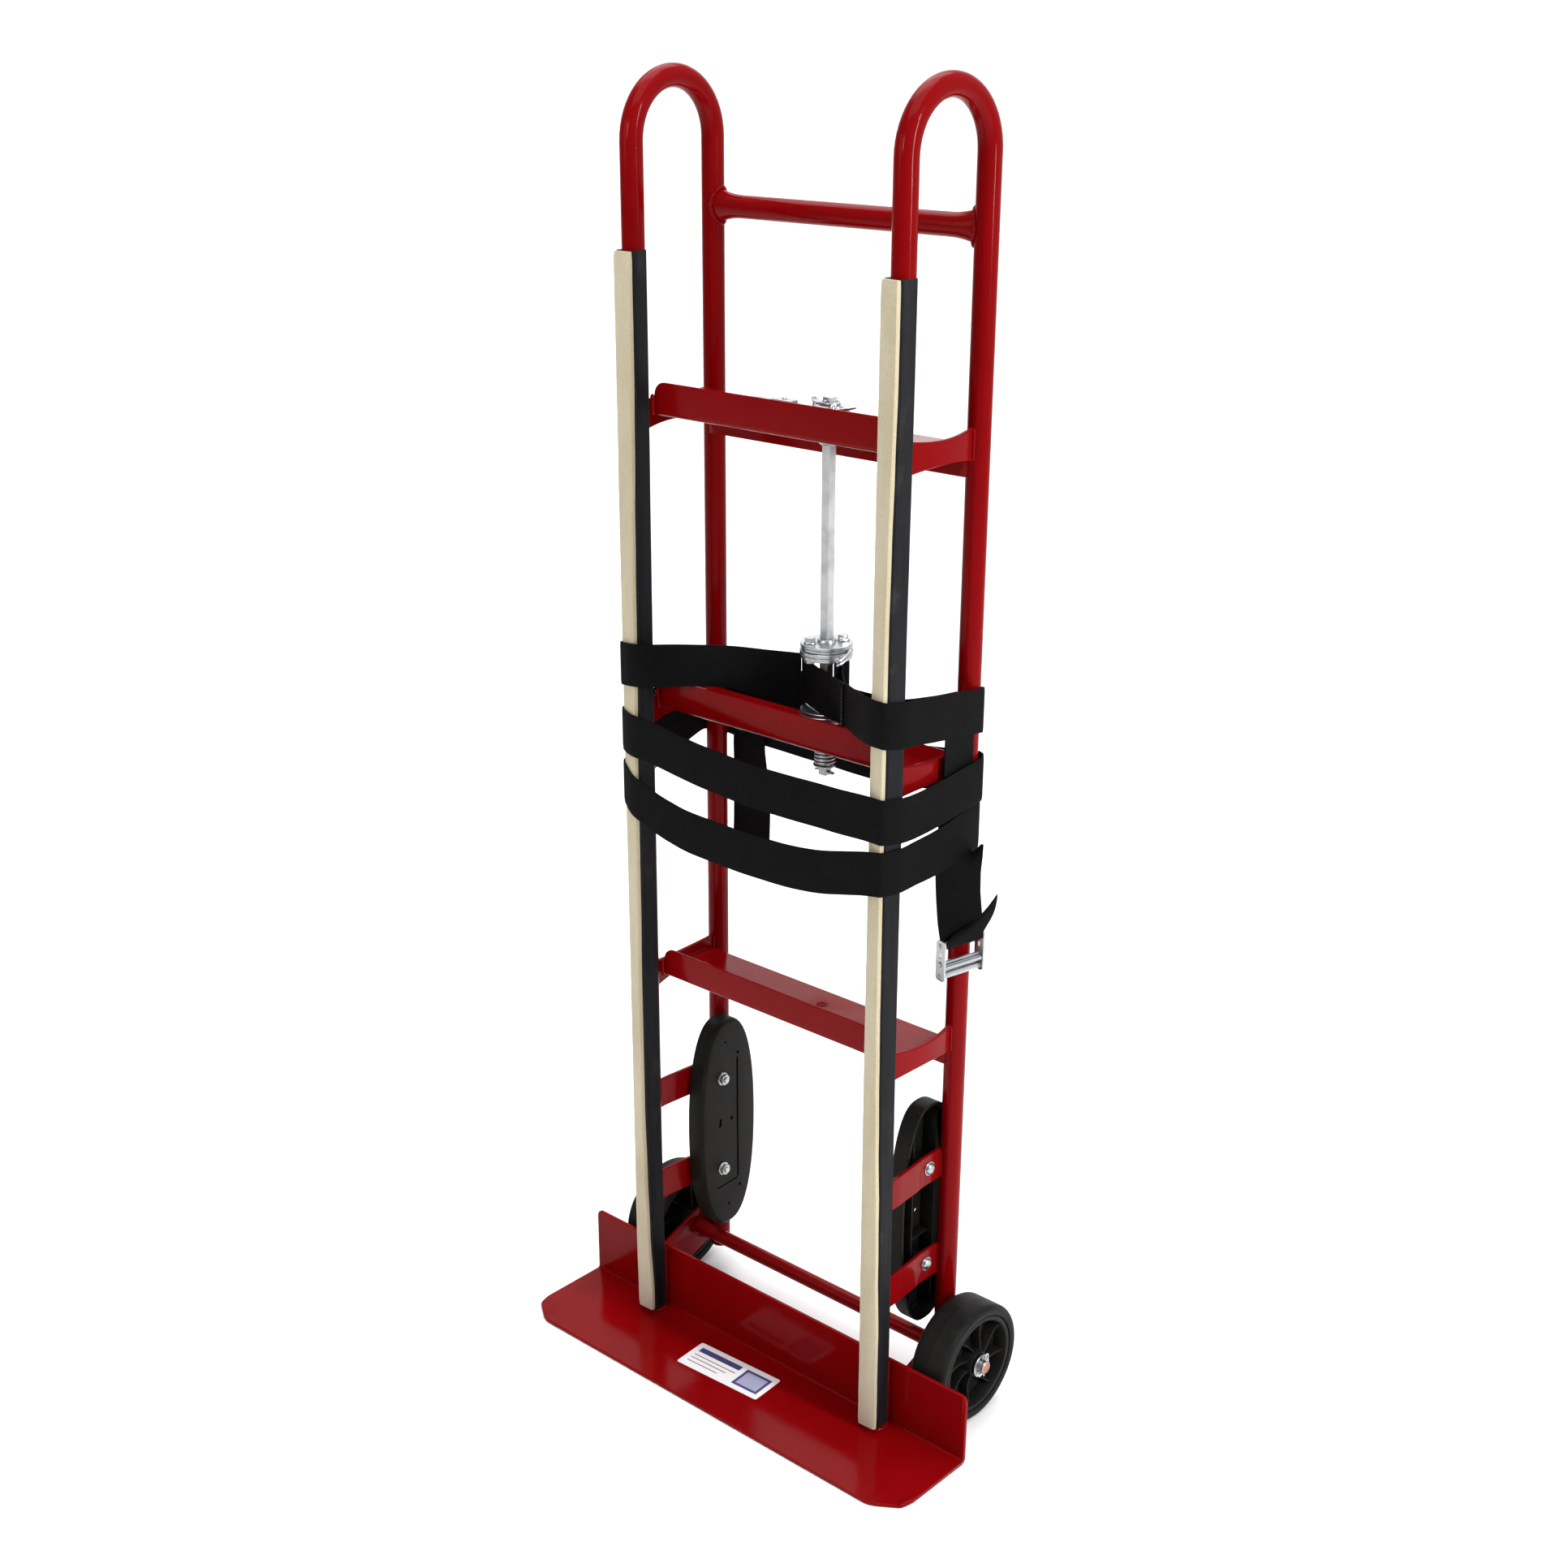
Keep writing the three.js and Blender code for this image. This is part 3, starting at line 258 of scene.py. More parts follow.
def mat_webbing():
    # uv: u across the webbing and v along it, both in millimetres
    m, nt, b = principled("belt_webbing")
    L = nt.links.new
    uv = nt.nodes.new("ShaderNodeTexCoord")
    sep = nt.nodes.new("ShaderNodeSeparateXYZ")
    L(uv.outputs["UV"], sep.inputs[0])
    u, v = sep.outputs[0], sep.outputs[1]
    warp_n = math_node(nt, "DIVIDE", u, 1.45)
    rib = math_node(nt, "ABSOLUTE", math_node(nt, "SINE", math_node(nt, "MULTIPLY", warp_n, pi)))
    col_i = math_node(nt, "FLOOR", warp_n)
    odd = math_node(nt, "MODULO", math_node(nt, "ABSOLUTE", col_i), 2.0)
    pick = math_node(nt, "ADD", math_node(nt, "DIVIDE", v, 2.3), math_node(nt, "MULTIPLY", odd, 0.5))
    over = math_node(nt, "ABSOLUTE", math_node(nt, "SINE", math_node(nt, "MULTIPLY", pick, pi)))
    h = math_node(nt, "MULTIPLY", math_node(nt, "POWER", rib, 0.6), math_node(nt, "ADD", math_node(nt, "MULTIPLY", math_node(nt, "POWER", over, 0.7), 0.65), 0.35))
    vec = mapped(nt)
    fibre = noise(nt, vec, 1600.0, 3, 0.7)
    broad = noise(nt, vec, 14.0, 5, 0.6)
    # colour follows the weave height: painted shade darkens the valleys between the threads
    col = ramp(nt, h, [(0.10, (0.0010, 0.0010, 0.0011)), (0.75, (0.0030, 0.0030, 0.0032)), (1.0, (0.0052, 0.0051, 0.0052))])
    fade = ramp(nt, broad, [(0.35, (0.75, 0.78, 0.85)), (0.7, (1.25, 1.2, 1.1))])
    col = mix_rgb(nt, 1.0, col, fade, "MULTIPLY")
    lint = ramp(nt, noise(nt, vec, 520.0, 5, 0.8), [(0.70, (0, 0, 0)), (0.76, (1, 1, 1))])
    col = mix_rgb(nt, math_node(nt, "MULTIPLY", lint, 0.10), col, (0.10, 0.095, 0.085))
    L(col, b.inputs["Base Color"])
    L(math_node(nt, "ADD", math_node(nt, "MULTIPLY", fibre, 0.25), 0.62), b.inputs["Roughness"])
    b.inputs["Specular IOR Level"].default_value = 0.07
    hh = math_node(nt, "ADD", h, math_node(nt, "MULTIPLY", fibre, 0.25))
    L(bump(nt, hh, 0.8, 0.00045), b.inputs["Normal"])
    return m

def mat_thread():
    m, nt, b = principled("belt_stitching")
    L = nt.links.new
    f = noise(nt, mapped(nt), 2200.0, 3, 0.6)
    L(ramp(nt, f, [(0.3, (0.012, 0.012, 0.013)), (0.7, (0.045, 0.044, 0.043))]), b.inputs["Base Color"])
    b.inputs["Roughness"].default_value = 0.55
    L(bump(nt, f, 0.5, 0.0002), b.inputs["Normal"])
    return m

def mat_moulded(name, lo, hi, r0, tex=700.0, strength=0.22, dust_amount=0.06):
    m, nt, b = principled(name)
    L = nt.links.new
    vec = mapped(nt)
    broad = noise(nt, vec, 18.0, 5, 0.6)
    col = ramp(nt, broad, [(0.30, lo), (0.72, hi)])
    dust = ramp(nt, noise(nt, vec, 60.0, 7, 0.75), [(0.55, (0, 0, 0)), (0.78, (1, 1, 1))])
    col = mix_rgb(nt, math_node(nt, "MULTIPLY", dust, dust_amount), col, (0.17, 0.165, 0.15))
    scr = noise(nt, mapped(nt, (1, 6, 1), rot=(0.5, 0.2, 0.7)), 160.0, 4, 0.8, 0.4)
    scr = ramp(nt, scr, [(0.66, (0, 0, 0)), (0.71, (1, 1, 1))])
    col = mix_rgb(nt, math_node(nt, "MULTIPLY", scr, dust_amount * 0.7), col, (0.16, 0.155, 0.145))
    L(col, b.inputs["Base Color"])
    L(math_node(nt, "ADD", math_node(nt, "MULTIPLY", dust, 0.20), math_node(nt, "ADD", math_node(nt, "MULTIPLY", broad, 0.12), r0)), b.inputs["Roughness"])
    b.inputs["Specular IOR Level"].default_value = 0.09
    g = noise(nt, vec, tex, 3, 0.6)
    L(bump(nt, g, strength, 0.0004), b.inputs["Normal"])
    return m

def mat_label():
    # a plain printed sticker: pale ground, one dark panel, thin rules (uv in 0..1)
    m, nt, b = principled("plain_label")
    L = nt.links.new
    uv = nt.nodes.new("ShaderNodeTexCoord")
    sep = nt.nodes.new("ShaderNodeSeparateXYZ")
    L(uv.outputs["UV"], sep.inputs[0])
    u, v = sep.outputs[0], sep.outputs[1]
    def inside(val, a, c):
        return math_node(nt, "MULTIPLY", math_node(nt, "GREATER_THAN", val, a), math_node(nt, "LESS_THAN", val, c))
    panel = math_node(nt, "MULTIPLY", inside(u, 0.64, 0.95), inside(v, 0.16, 0.84))
    hole = math_node(nt, "MULTIPLY", inside(u, 0.67, 0.92), inside(v, 0.24, 0.76))
    bar = math_node(nt, "MULTIPLY", inside(u, 0.06, 0.58), inside(v, 0.66, 0.84))
    rule1 = math_node(nt, "MULTIPLY", inside(u, 0.06, 0.58), inside(v, 0.50, 0.53))
    rule2 = math_node(nt, "MULTIPLY", inside(u, 0.06, 0.50), inside(v, 0.36, 0.39))
    rule3 = math_node(nt, "MULTIPLY", inside(u, 0.06, 0.44), inside(v, 0.21, 0.24))
    ink = noise(nt, mapped(nt), 900.0, 3)
    ground = ramp(nt, ink, [(0.3, (0.74, 0.74, 0.76)), (0.7, (0.80, 0.80, 0.82))])
    c = mix_rgb(nt, panel, ground, (0.045, 0.045, 0.16))
    c = mix_rgb(nt, hole, c, (0.33, 0.34, 0.50))
    c = mix_rgb(nt, bar, c, (0.045, 0.045, 0.16))
    for rule in (rule1, rule2, rule3):
        c = mix_rgb(nt, rule, c, (0.16, 0.03, 0.04))
    L(c, b.inputs["Base Color"])
    L(math_node(nt, "ADD", math_node(nt, "MULTIPLY", ink, 0.15), 0.25), b.inputs["Roughness"])
    L(bump(nt, noise(nt, mapped(nt), 40.0, 2), 0.08, 0.0006), b.inputs["Normal"])
    return m

def mat_plain_floor():
    m, nt, b = principled("pale_floor")
    b.inputs["Base Color"].default_value = (0.93, 0.93, 0.93, 1)
    b.inputs["Roughness"].default_value = 0.9
    b.inputs["Specular IOR Level"].default_value = 0.1
    return m

RED = mat_red()
ZINC = mat_zinc()
DULL_ZINC = mat_zinc("dull_zinc", (0.56, 0.565, 0.56), 0.36)
RUST = mat_rusty()
SHAFT = mat_zinc("drawn_shaft_steel", (0.60, 0.61, 0.625), 0.40)
SHAFT.node_tree.nodes["Principled BSDF"].inputs["Metallic"].default_value = 0.72
VINYL = mat_vinyl()
FELT = mat_felt()
WEB = mat_webbing()
THREAD = mat_thread()
GLIDE = mat_moulded("glide_plastic", (0.0048, 0.0047, 0.0040), (0.0100, 0.0098, 0.0082), 0.40)
HUB = mat_moulded("hub_plastic", (0.0050, 0.0050, 0.0046), (0.0105, 0.0105, 0.0094), 0.42)
TYRE = mat_moulded("tyre_rubber", (0.0052, 0.0052, 0.0050), (0.0105, 0.0105, 0.0098), 0.46, 1100.0, 0.35, 0.07)
LABEL = mat_label()

# ------------------------------------------------------------------ mesh helpers (millimetres in, metres out)
def finish_bm(name, bm, mats, body="frame", replaces=(), angle=32, bevel=0.0, segs=2, bevel_angle=32, dissolve=False):
    bmesh.ops.remove_doubles(bm, verts=bm.verts, dist=1e-4)
    bmesh.ops.recalc_face_normals(bm, faces=bm.faces)
    if bevel > 0:
        edges = [e for e in bm.edges if len(e.link_faces) == 2 and e.calc_face_angle(0) > math.radians(bevel_angle)]
        if edges:
            bmesh.ops.bevel(bm, geom=edges, offset=bevel, segments=segs, profile=0.5, affect="EDGES", clamp_overlap=True, harden_normals=False)
    for v in bm.verts:
        v.co *= MM
    me = bpy.data.meshes.new(name)
    bm.to_mesh(me)
    bm.free()
    for m in (mats if isinstance(mats, (list, tuple)) else [mats]):
        me.materials.append(m)
    me.polygons.foreach_set("use_smooth", [True] * len(me.polygons))
    me.set_sharp_from_angle(angle=math.radians(angle))
    me.update()
    ob = bpy.data.objects.new(name, me)
    scene.collection.objects.link(ob)
    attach(ob, body)
    if replaces:
        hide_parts(*replaces)
    return ob

def bm_from(verts, faces):
    bm = bmesh.new()
    vs = [bm.verts.new(v) for v in verts]
    for f in faces:
        try:
            bm.faces.new([vs[i] for i in f])
        except ValueError:
            pass
    return bm

def merge_bm(*bms):
    out = bmesh.new()
    for b in bms:
        me = bpy.data.meshes.new("tmp")
        b.to_mesh(me)
        out.from_mesh(me)
        bpy.data.meshes.remove(me)
        b.free()
    return out

def bm_prism(outline, lo, hi, axis="z", holes=()):
    """outline: list of 2-D points; extruded from lo to hi along the axis. (a, b) maps to xy, xz or yz."""
    bm = bmesh.new()
    def at(p, h):
        if axis == "z": return (p[0], p[1], h)
        if axis == "y": return (p[0], h, p[1])
        return (h, p[0], p[1])
    bot = [bm.verts.new(at(p, lo)) for p in outline]
    top = [bm.verts.new(at(p, hi)) for p in outline]
    n = len(outline)
    for i in range(n):
        j = (i + 1) % n
        bm.faces.new((bot[i], bot[j], top[j], top[i]))
    bm.faces.new(bot[::-1])
    bm.faces.new(top)
    return bm

def bm_lathe(profile, axis="z", centre=(0, 0, 0), n=48, closed=True):
    """profile: list of (radius, height) closed on itself (or ending on the axis)."""
    bm = bmesh.new()
    rings = []
    cx, cy, cz = centre
    def at(r, h, a):
        c, s = r * math.cos(a), r * math.sin(a)
        if axis == "z": return (cx + c, cy + s, cz + h)
        if axis == "x": return (cx + h, cy + c, cz + s)
        return (cx + c, cy + h, cz + s)
    for r, h in profile:
        if r < 1e-6:
            rings.append([bm.verts.new(at(0, h, 0))])
        else:
            rings.append([bm.verts.new(at(r, h, 2 * pi * i / n)) for i in range(n)])
    pairs = list(zip(rings, rings[1:])) + ([(rings[-1], rings[0])] if closed else [])
    for a, b in pairs:
        if len(a) == 1 and len(b) == 1:
            continue
        for i in range(n):
            j = (i + 1) % n
            if len(a) == 1:
                bm.faces.new((a[0], b[i], b[j]))
            elif len(b) == 1:
                bm.faces.new((a[i], a[j], b[0]))
            else:
                bm.faces.new((a[i], a[j], b[j], b[i]))
    return bm

def frames_along(points, up=V((0, 0, 1)), loop=False):
    """parallel-transported frames: [(tangent, side, normal)]"""
    n = len(points)
    tan = []
    for i in range(n):
        a = points[(i - 1) % n] if (loop or i > 0) else points[i]
        b = points[(i + 1) % n] if (loop or i < n - 1) else points[i]
        tan.append((b - a).normalized())
    side = tan[0].cross(up)
    if side.length < 1e-4:
        side = tan[0].cross(V((0, 1, 0)))
    side.normalize()
    out = []
    for i, t in enumerate(tan):
        if i:
            side = (side - t * side.dot(t))
            side.normalize()
        out.append((t, side.copy(), side.cross(t).normalized()))
    return out

def bm_sweep(points, section, loop=False, up=V((0, 0, 1)), scale=None, caps=True):
    points = [V(p) for p in points]
    fr = frames_along(points, up, loop)
    bm = bmesh.new()
    rings = []
    for k, (p, (t, s, nrm)) in enumerate(zip(points, fr)):
        q = scale(k / max(1, len(points) - 1)) if scale else 1.0
        rings.append([bm.verts.new(p + s * a * q + nrm * b * q) for a, b in section])
    m = len(section)
    for a, b in list(zip(rings, rings[1:])) + ([(rings[-1], rings[0])] if loop else []):
        for i in range(m):
            j = (i + 1) % m
            bm.faces.new((a[i], a[j], b[j], b[i]))
    if caps and not loop:
        bm.faces.new(rings[0][::-1])
        bm.faces.new(rings[-1])
    return bm

def circle2(r, n=16, cx=0.0, cy=0.0):
    return [(cx + r * math.cos(2 * pi * i / n), cy + r * math.sin(2 * pi * i / n)) for i in range(n)]

def round_poly(points, radii, n=5):
    """closed outline with rounded corners"""
    out = []
    m = len(points)
    for i in range(m):
        p = V((*points[i], 0))
        a = V((*points[(i - 1) % m], 0)) - p
        b = V((*points[(i + 1) % m], 0)) - p
        r = radii[i] if isinstance(radii, (list, tuple)) else radii
        if r <= 0:
            out.append((p.x, p.y))
            continue
        half = a.angle(b) / 2
        d = min(r / math.tan(half), a.length * 0.49, b.length * 0.49)
        r = d * math.tan(half)
        p1, p2 = p + a.normalized() * d, p + b.normalized() * d
        c = p + (a.normalized() + b.normalized()).normalized() * (r / math.sin(half))
        a1, a2 = math.atan2(p1.y - c.y, p1.x - c.x), math.atan2(p2.y - c.y, p2.x - c.x)
        da = (a2 - a1 + pi) % (2 * pi) - pi
        for k in range(n + 1):
            t = a1 + da * k / n
            out.append((c.x + r * math.cos(t), c.y + r * math.sin(t)))
    return out

def catmull(pts, per=6):
    """dense points through pts (lists of numbers of any length)"""
    out = []
    n = len(pts)
    for i in range(n - 1):
        p0 = pts[max(i - 1, 0)]; p1 = pts[i]; p2 = pts[i + 1]; p3 = pts[min(i + 2, n - 1)]
        d = math.sqrt(sum((b - a) ** 2 for a, b in zip(p1[:3], p2[:3])))
        steps = max(1, int(round(d / per)))
        for s in range(steps):
            t = s / steps
            out.append([0.5 * ((2 * b) + (-a + c) * t + (2 * a - 5 * b + 4 * c - e) * t * t + (-a + 3 * b - 3 * c + e) * t ** 3) for a, b, c, e in zip(p0, p1, p2, p3)])
    out.append(list(pts[-1]))
    return out

# ------------------------------------------------------------------ carried-over CAD nodes get real materials
SLOT_MAT = {"red_paint": RED, "zinc_plate": ZINC, "pad_vinyl": VINYL, "pad_felt": FELT, "belt_webbing": WEB,
            "glide_plastic": GLIDE, "hub_plastic": HUB, "tyre_rubber": TYRE, "label_film": LABEL}
slots = {s["node"]: s["material_slot"] for s in frame["record"]["subparts"]}
for name, ob in frame["nodes"].items():
    ob.data.materials.clear()
    ob.data.materials.append(SLOT_MAT[slots[name]])

# ------------------------------------------------------------------ more mesh helpers
TUBE_R, TUBE_WALL, FRONT_X, REAR_X, REAR_Y, LOOP_R = 12.7, 1.65, 184.2, 187.0, 128.0, 64.0
HEIGHT, PLATE_T, FLANGE_Y, FLANGE_TOP = 1524.0, 4.8, 14.6, 93.0
WINCH_X, WINCH_Y = 25.4, 80.3
AXLE_Y, AXLE_Z = 99.3, 74.6

def bm_loft(rings, caps=True, loop=False):
    bm = bmesh.new()
    vr = [[bm.verts.new(p) for p in r] for r in rings]
    m = len(vr[0])
    for a, b in list(zip(vr, vr[1:])) + ([(vr[-1], vr[0])] if loop else []):
        for i in range(m):
            j = (i + 1) % m
            bm.faces.new((a[i], a[j], b[j], b[i]))
    if caps and not loop:
        bm.faces.new(vr[0][::-1])
        bm.faces.new(vr[-1])
    return bm

def mirrored(bm):
    out = bm.copy()
    for v in out.verts:
        v.co.x = -v.co.x
    bmesh.ops.reverse_faces(out, faces=out.faces)
    return out

def bm_cut(bm, *tools):
    def mk(b):
        bmesh.ops.remove_doubles(b, verts=b.verts, dist=1e-4)
        bmesh.ops.recalc_face_normals(b, faces=b.faces)
        me = bpy.data.meshes.new("tmp")
        b.to_mesh(me)
        b.free()
        o = bpy.data.objects.new("tmp", me)
        scene.collection.objects.link(o)
        return o
    base = mk(bm)
    ts = [mk(t) for t in tools]
    for t in ts:
        m = base.modifiers.new("cut", "BOOLEAN")
        m.operation = "DIFFERENCE"
        m.object = t
        m.solver = "EXACT"
    bpy.context.view_layer.update()
    ev = base.evaluated_get(bpy.context.evaluated_depsgraph_get())
    out = bmesh.new()
    out.from_mesh(ev.to_mesh())
    ev.to_mesh_clear()
    for o in [base] + ts:
        me = o.data
        bpy.data.objects.remove(o)
        bpy.data.meshes.remove(me)
    return out

def bm_bevelled(bm, width, segs=2, angle=32):
    bmesh.ops.remove_doubles(bm, verts=bm.verts, dist=1e-4)
    bmesh.ops.recalc_face_normals(bm, faces=bm.faces)
    edges = [e for e in bm.edges if len(e.link_faces) == 2 and e.calc_face_angle(0) > math.radians(angle)]
    if edges:
        bmesh.ops.bevel(bm, geom=edges, offset=width, segments=segs, profile=0.5, affect="EDGES", clamp_overlap=True)
    return bm

def resample(points, step):
    points = [V(p) for p in points]
    out = [points[0]]
    for a, b in zip(points, points[1:]):
        n = max(1, int(round((b - a).length / step)))
        out += [a.lerp(b, (k + 1) / n) for k in range(n)]
    return out

def bm_weld(points, r=2.3, loop=False, seed=1, sides=10):
    """a weld bead: a rippled, slightly uneven run of metal along the points"""
    pts = resample(list(points) + ([points[0]] if loop else []), 1.25)
    if loop:
        pts = pts[:-1]
    rnd = random.Random(seed)
    n = len(pts)
    ph = rnd.uniform(0, 6)
    size = [r * (0.84 + 0.15 * abs(math.sin(k * 0.85 + ph)) + 0.06 * math.sin(k * 0.13 + ph * 2) + rnd.uniform(-0.025, 0.025)) for k in range(n)]
    if not loop:
        for k in range(min(3, n // 2)):
            size[k] *= (0.45, 0.75, 0.92)[k]
            size[-1 - k] *= (0.45, 0.75, 0.92)[k]
    fr = frames_along(pts, V((0.31, 0.17, 0.93)), loop)
    rings = []
    for k, (p, (t, s, nn)) in enumerate(zip(pts, fr)):
        rings.append([p + s * size[k] * math.cos(2 * pi * i / sides) + nn * size[k] * math.sin(2 * pi * i / sides) for i in range(sides)])
    return bm_loft(rings, loop=loop)

def ring_pts(r, axis, c, n=28, a0=0.0, a1=2 * pi):
    out = []
    full = abs(a1 - a0 - 2 * pi) < 1e-6
    for k in range(n if full else n + 1):
        a = a0 + (a1 - a0) * k / n
        p, q = r * math.cos(a), r * math.sin(a)
        out.append(V((c[0] + p, c[1] + q, c[2])) if axis == "z" else V((c[0], c[1] + p, c[2] + q)) if axis == "x" else V((c[0] + p, c[1], c[2] + q)))
    return out

def bm_cyl(axis, r, a, b, c1, c2, n=24, ch=0.0):
    """plain rod with chamfered ends; (c1, c2) are the two other coordinates in order"""
    prof = [(0, a), (r - ch, a), (r, a + ch), (r, b - ch), (r - ch, b), (0, b)] if ch else [(0, a), (r, a), (r, b), (0, b)]
    centre = {"x": (0, c1, c2), "y": (c1, 0, c2), "z": (c1, c2, 0)}[axis]
    return bm_lathe(prof, axis, centre, n, closed=False)

def bm_hex(axis, af, a, b, c1, c2, turn=0.0, crown=True, flip=False):
    """hexagon head or nut with its chamfered crown at the b end (or at a when flipped)"""
    R = af / 2 / math.cos(pi / 6)
    ring = [(math.cos(turn + k * pi / 12), math.sin(turn + k * pi / 12)) for k in range(24)]
    def rad(k, full):
        ang = (k * pi / 12) % (pi / 3) - pi / 6
        h = af / 2 / math.cos(ang)
        return h if full else min(h, af / 2 * 0.985)
    h = (b - a)
    ch = 0.16 * h
    levels = [(a, 1), (b - ch * 0.6, 1), (b, 0)] if not flip else [(a, 0), (a + ch * 0.6, 1), (b, 1)]
    rings = []
    for lv, full in levels:
        pts = []
        for k, (cc, ss) in enumerate(ring):
            r = rad(k, full)
            p, q = c1 + r * cc, c2 + r * ss
            pts.append({"x": (lv, p, q), "y": (p, lv, q), "z": (p, q, lv)}[axis])
        rings.append(pts)
    return bm_loft(rings)

# ------------------------------------------------------------------ side rails
def rail_points():
    top = HEIGHT - TUBE_R - LOOP_R
    x_at = lambda y: FRONT_X + (REAR_X - FRONT_X) * (y / REAR_Y)
    pts = [V((FRONT_X, 0, 5.0))] + [V((FRONT_X, 0, z)) for z in range(200, 1447, 200)]
    n = 30
    for i in range(n + 1):
        a = pi * (1 - i / n)
        y = LOOP_R + LOOP_R * math.cos(a)
        pts.append(V((x_at(y), y, top + LOOP_R * math.sin(a))))
    pts += [V((REAR_X, REAR_Y, z)) for z in range(1400, 100, -200)] + [V((REAR_X, REAR_Y, 42))]
    return pts

def rail_bm():
    pts = rail_points()
    fr = frames_along(pts, V((1, 0, 0)))
    n = 36
    rings = []
    def ring_at(p, f, r):
        t, s, nn = f
        return [p + s * r * math.cos(2 * pi * i / n) + nn * r * math.sin(2 * pi * i / n) for i in range(n)]
    for p, f in zip(pts, fr):
        rings.append(ring_at(p, f, TUBE_R))
    # open lower end of the rear leg
    f = fr[-1]
    ri = TUBE_R - TUBE_WALL
    rings[-1] = ring_at(V((REAR_X, REAR_Y, 42.5)), f, TUBE_R)
    rings.append(ring_at(V((REAR_X, REAR_Y, 42)), f, TUBE_R - 0.5))
    rings.append(ring_at(V((REAR_X, REAR_Y, 42)), f, ri))
    rings.append(ring_at(V((REAR_X, REAR_Y, 90)), f, ri))
    return bm_loft(rings)

def rail_piece(side, name, seed):
    parts = [rail_bm(),
             bm_weld(ring_pts(TUBE_R + 1.4, "z", (FRONT_X, 0, 6.4)), 2.5, True, seed),
             bm_weld([V((FRONT_X + 7.6, 12.4, 9)), V((FRONT_X + 7.6, 12.4, 92))], 2.8, False, seed + 1),
             bm_weld([V((FRONT_X - 7.6, 12.4, 9)), V((FRONT_X - 7.6, 12.4, 92))], 2.8, False, seed + 2),
             bm_weld([V((FRONT_X - 6.0, 12.6, 93.4)), V((FRONT_X + 6.0, 12.6, 93.4))], 1.9, False, seed + 3)]
    bm = merge_bm(*parts)
    if side < 0:
        bm = mirrored(bm)
    return finish_bm(name, bm, RED, "frame", [name], angle=40)

rail_piece(1, "right_side_rail", 11)
rail_piece(-1, "left_side_rail", 23)

# top cross tube, saddle-welded between the rear legs
def top_tube():
    rb, zc = 12.4, 1375.0
    n, rings = 36, []
    def station(sgn, ry, rz, extra):
        out = []
        for k in range(n):
            a = 2 * pi * k / n
            y, z = ry * math.cos(a), rz * math.sin(a)
            x = REAR_X - math.sqrt(max(0, (TUBE_R - 0.5) ** 2 - y * y)) - extra
            out.append(V((sgn * x, REAR_Y + y, zc + z)))
        return out
    # the ends are pressed taller and thinner where they meet the legs
    ends = [(10.6, 18.4, 0), (10.9, 17.4, 2.5), (11.4, 15.6, 7), (11.9, 14.0, 14), (12.3, 12.8, 23), (rb, rb, 34)]
    for ry, rz, extra in ends:
        rings.append(station(-1, ry, rz, extra))
    for ry, rz, extra in ends[::-1]:
        rings.append(station(1, ry, rz, extra))
    tube = bm_loft(rings)
    parts = [tube]
    for sgn, seed in ((1, 5), (-1, 6)):
        pts = []
        for k in range(40):
            a = 2 * pi * k / 40
            y, z = 11.4 * math.cos(a), 19.2 * math.sin(a)
            x = REAR_X - math.sqrt(max(0, (TUBE_R + 0.9) ** 2 - min(y * y, 12.5 ** 2)))
            pts.append(V((sgn * x, REAR_Y + y, zc + z)))
        parts.append(bm_weld(pts, 2.4, True, seed))
    return finish_bm("top_cross_tube", merge_bm(*parts), RED, "frame", ["top_cross_tube"], angle=40)
top_tube()

# ------------------------------------------------------------------ toe plate
def arc2(cy, cz, r, a0, a1, n=5):
    return [(cy + r * math.cos(math.radians(a0 + (a1 - a0) * k / n)), cz + r * math.sin(math.radians(a0 + (a1 - a0) * k / n))) for k in range(n + 1)]

def toe_plate():
    w, T = 304.8, PLATE_T
    def front(x):
        ax = abs(x)
        # cut corners with eased ends
        if ax < 262: return -117.0
        line = -117.0 + (ax - 270.8) * 24.0 / 34.0
        if ax < 280:
            t = (ax - 262) / 18.0
            return -117.0 * (1 - t * t) + (-117.0 + 9.2 * 24 / 34) * t * t
        if ax > 299:
            return line + (ax - 299) ** 2 * 0.42
        return line
    def top(x):
        ax = abs(x)
        return FLANGE_TOP if ax < w - 7 else FLANGE_TOP - (7 - math.sqrt(max(0.0, 49 - (ax - (w - 7)) ** 2)))
    def profile(x):
        f, t = front(x), top(x)
        ro, ri = 8.0, 3.2
        B = FLANGE_Y + T
        pts = [(f, 1.1), (f + 1.0, 0.0), (-60, 0.0), (B - ro, 0.0)]
        pts += arc2(B - ro, ro, ro, -90, 0)[1:]
        pts += [(B, t - 0.9), (B - 0.9, t), (FLANGE_Y + 0.9, t), (FLANGE_Y, t - 0.9)]
        pts += arc2(FLANGE_Y - ri, T + ri, ri, 0, -90)
        pts += [(-60, T), (f + 1.0, T), (f, T - 1.1)]
        return pts
    xs = [-w, -w + 1, -w + 2.5, -w + 4.5, -w + 7, -299, -295, -288, -280, -275, -270, -266, -262, -200, -100, 0]
    xs = xs + [-x for x in reversed(xs[:-1])]
    rings = [[V((x, y, z)) for y, z in profile(x)] for x in xs]
    bm = bm_loft(rings)
    parts = [bm_bevelled(bm, 0.7, 2, 50)]
    return finish_bm("toe_plate", merge_bm(*parts), RED, "frame", ["toe_plate"], angle=38)
toe_plate()

# ------------------------------------------------------------------ cross members and braces
MEMBER_Z = [1160.0, 822.0, 478.0]
BRACE_T, BRACE_BOW = 5.0, 5.0
def brace_x(y):
    s = (y - TUBE_R) / (REAR_Y - 2 * TUBE_R)
    return FRONT_X + (REAR_X - FRONT_X) * (y / REAR_Y) + BRACE_BOW * math.sin(pi * min(max(s, 0), 1))

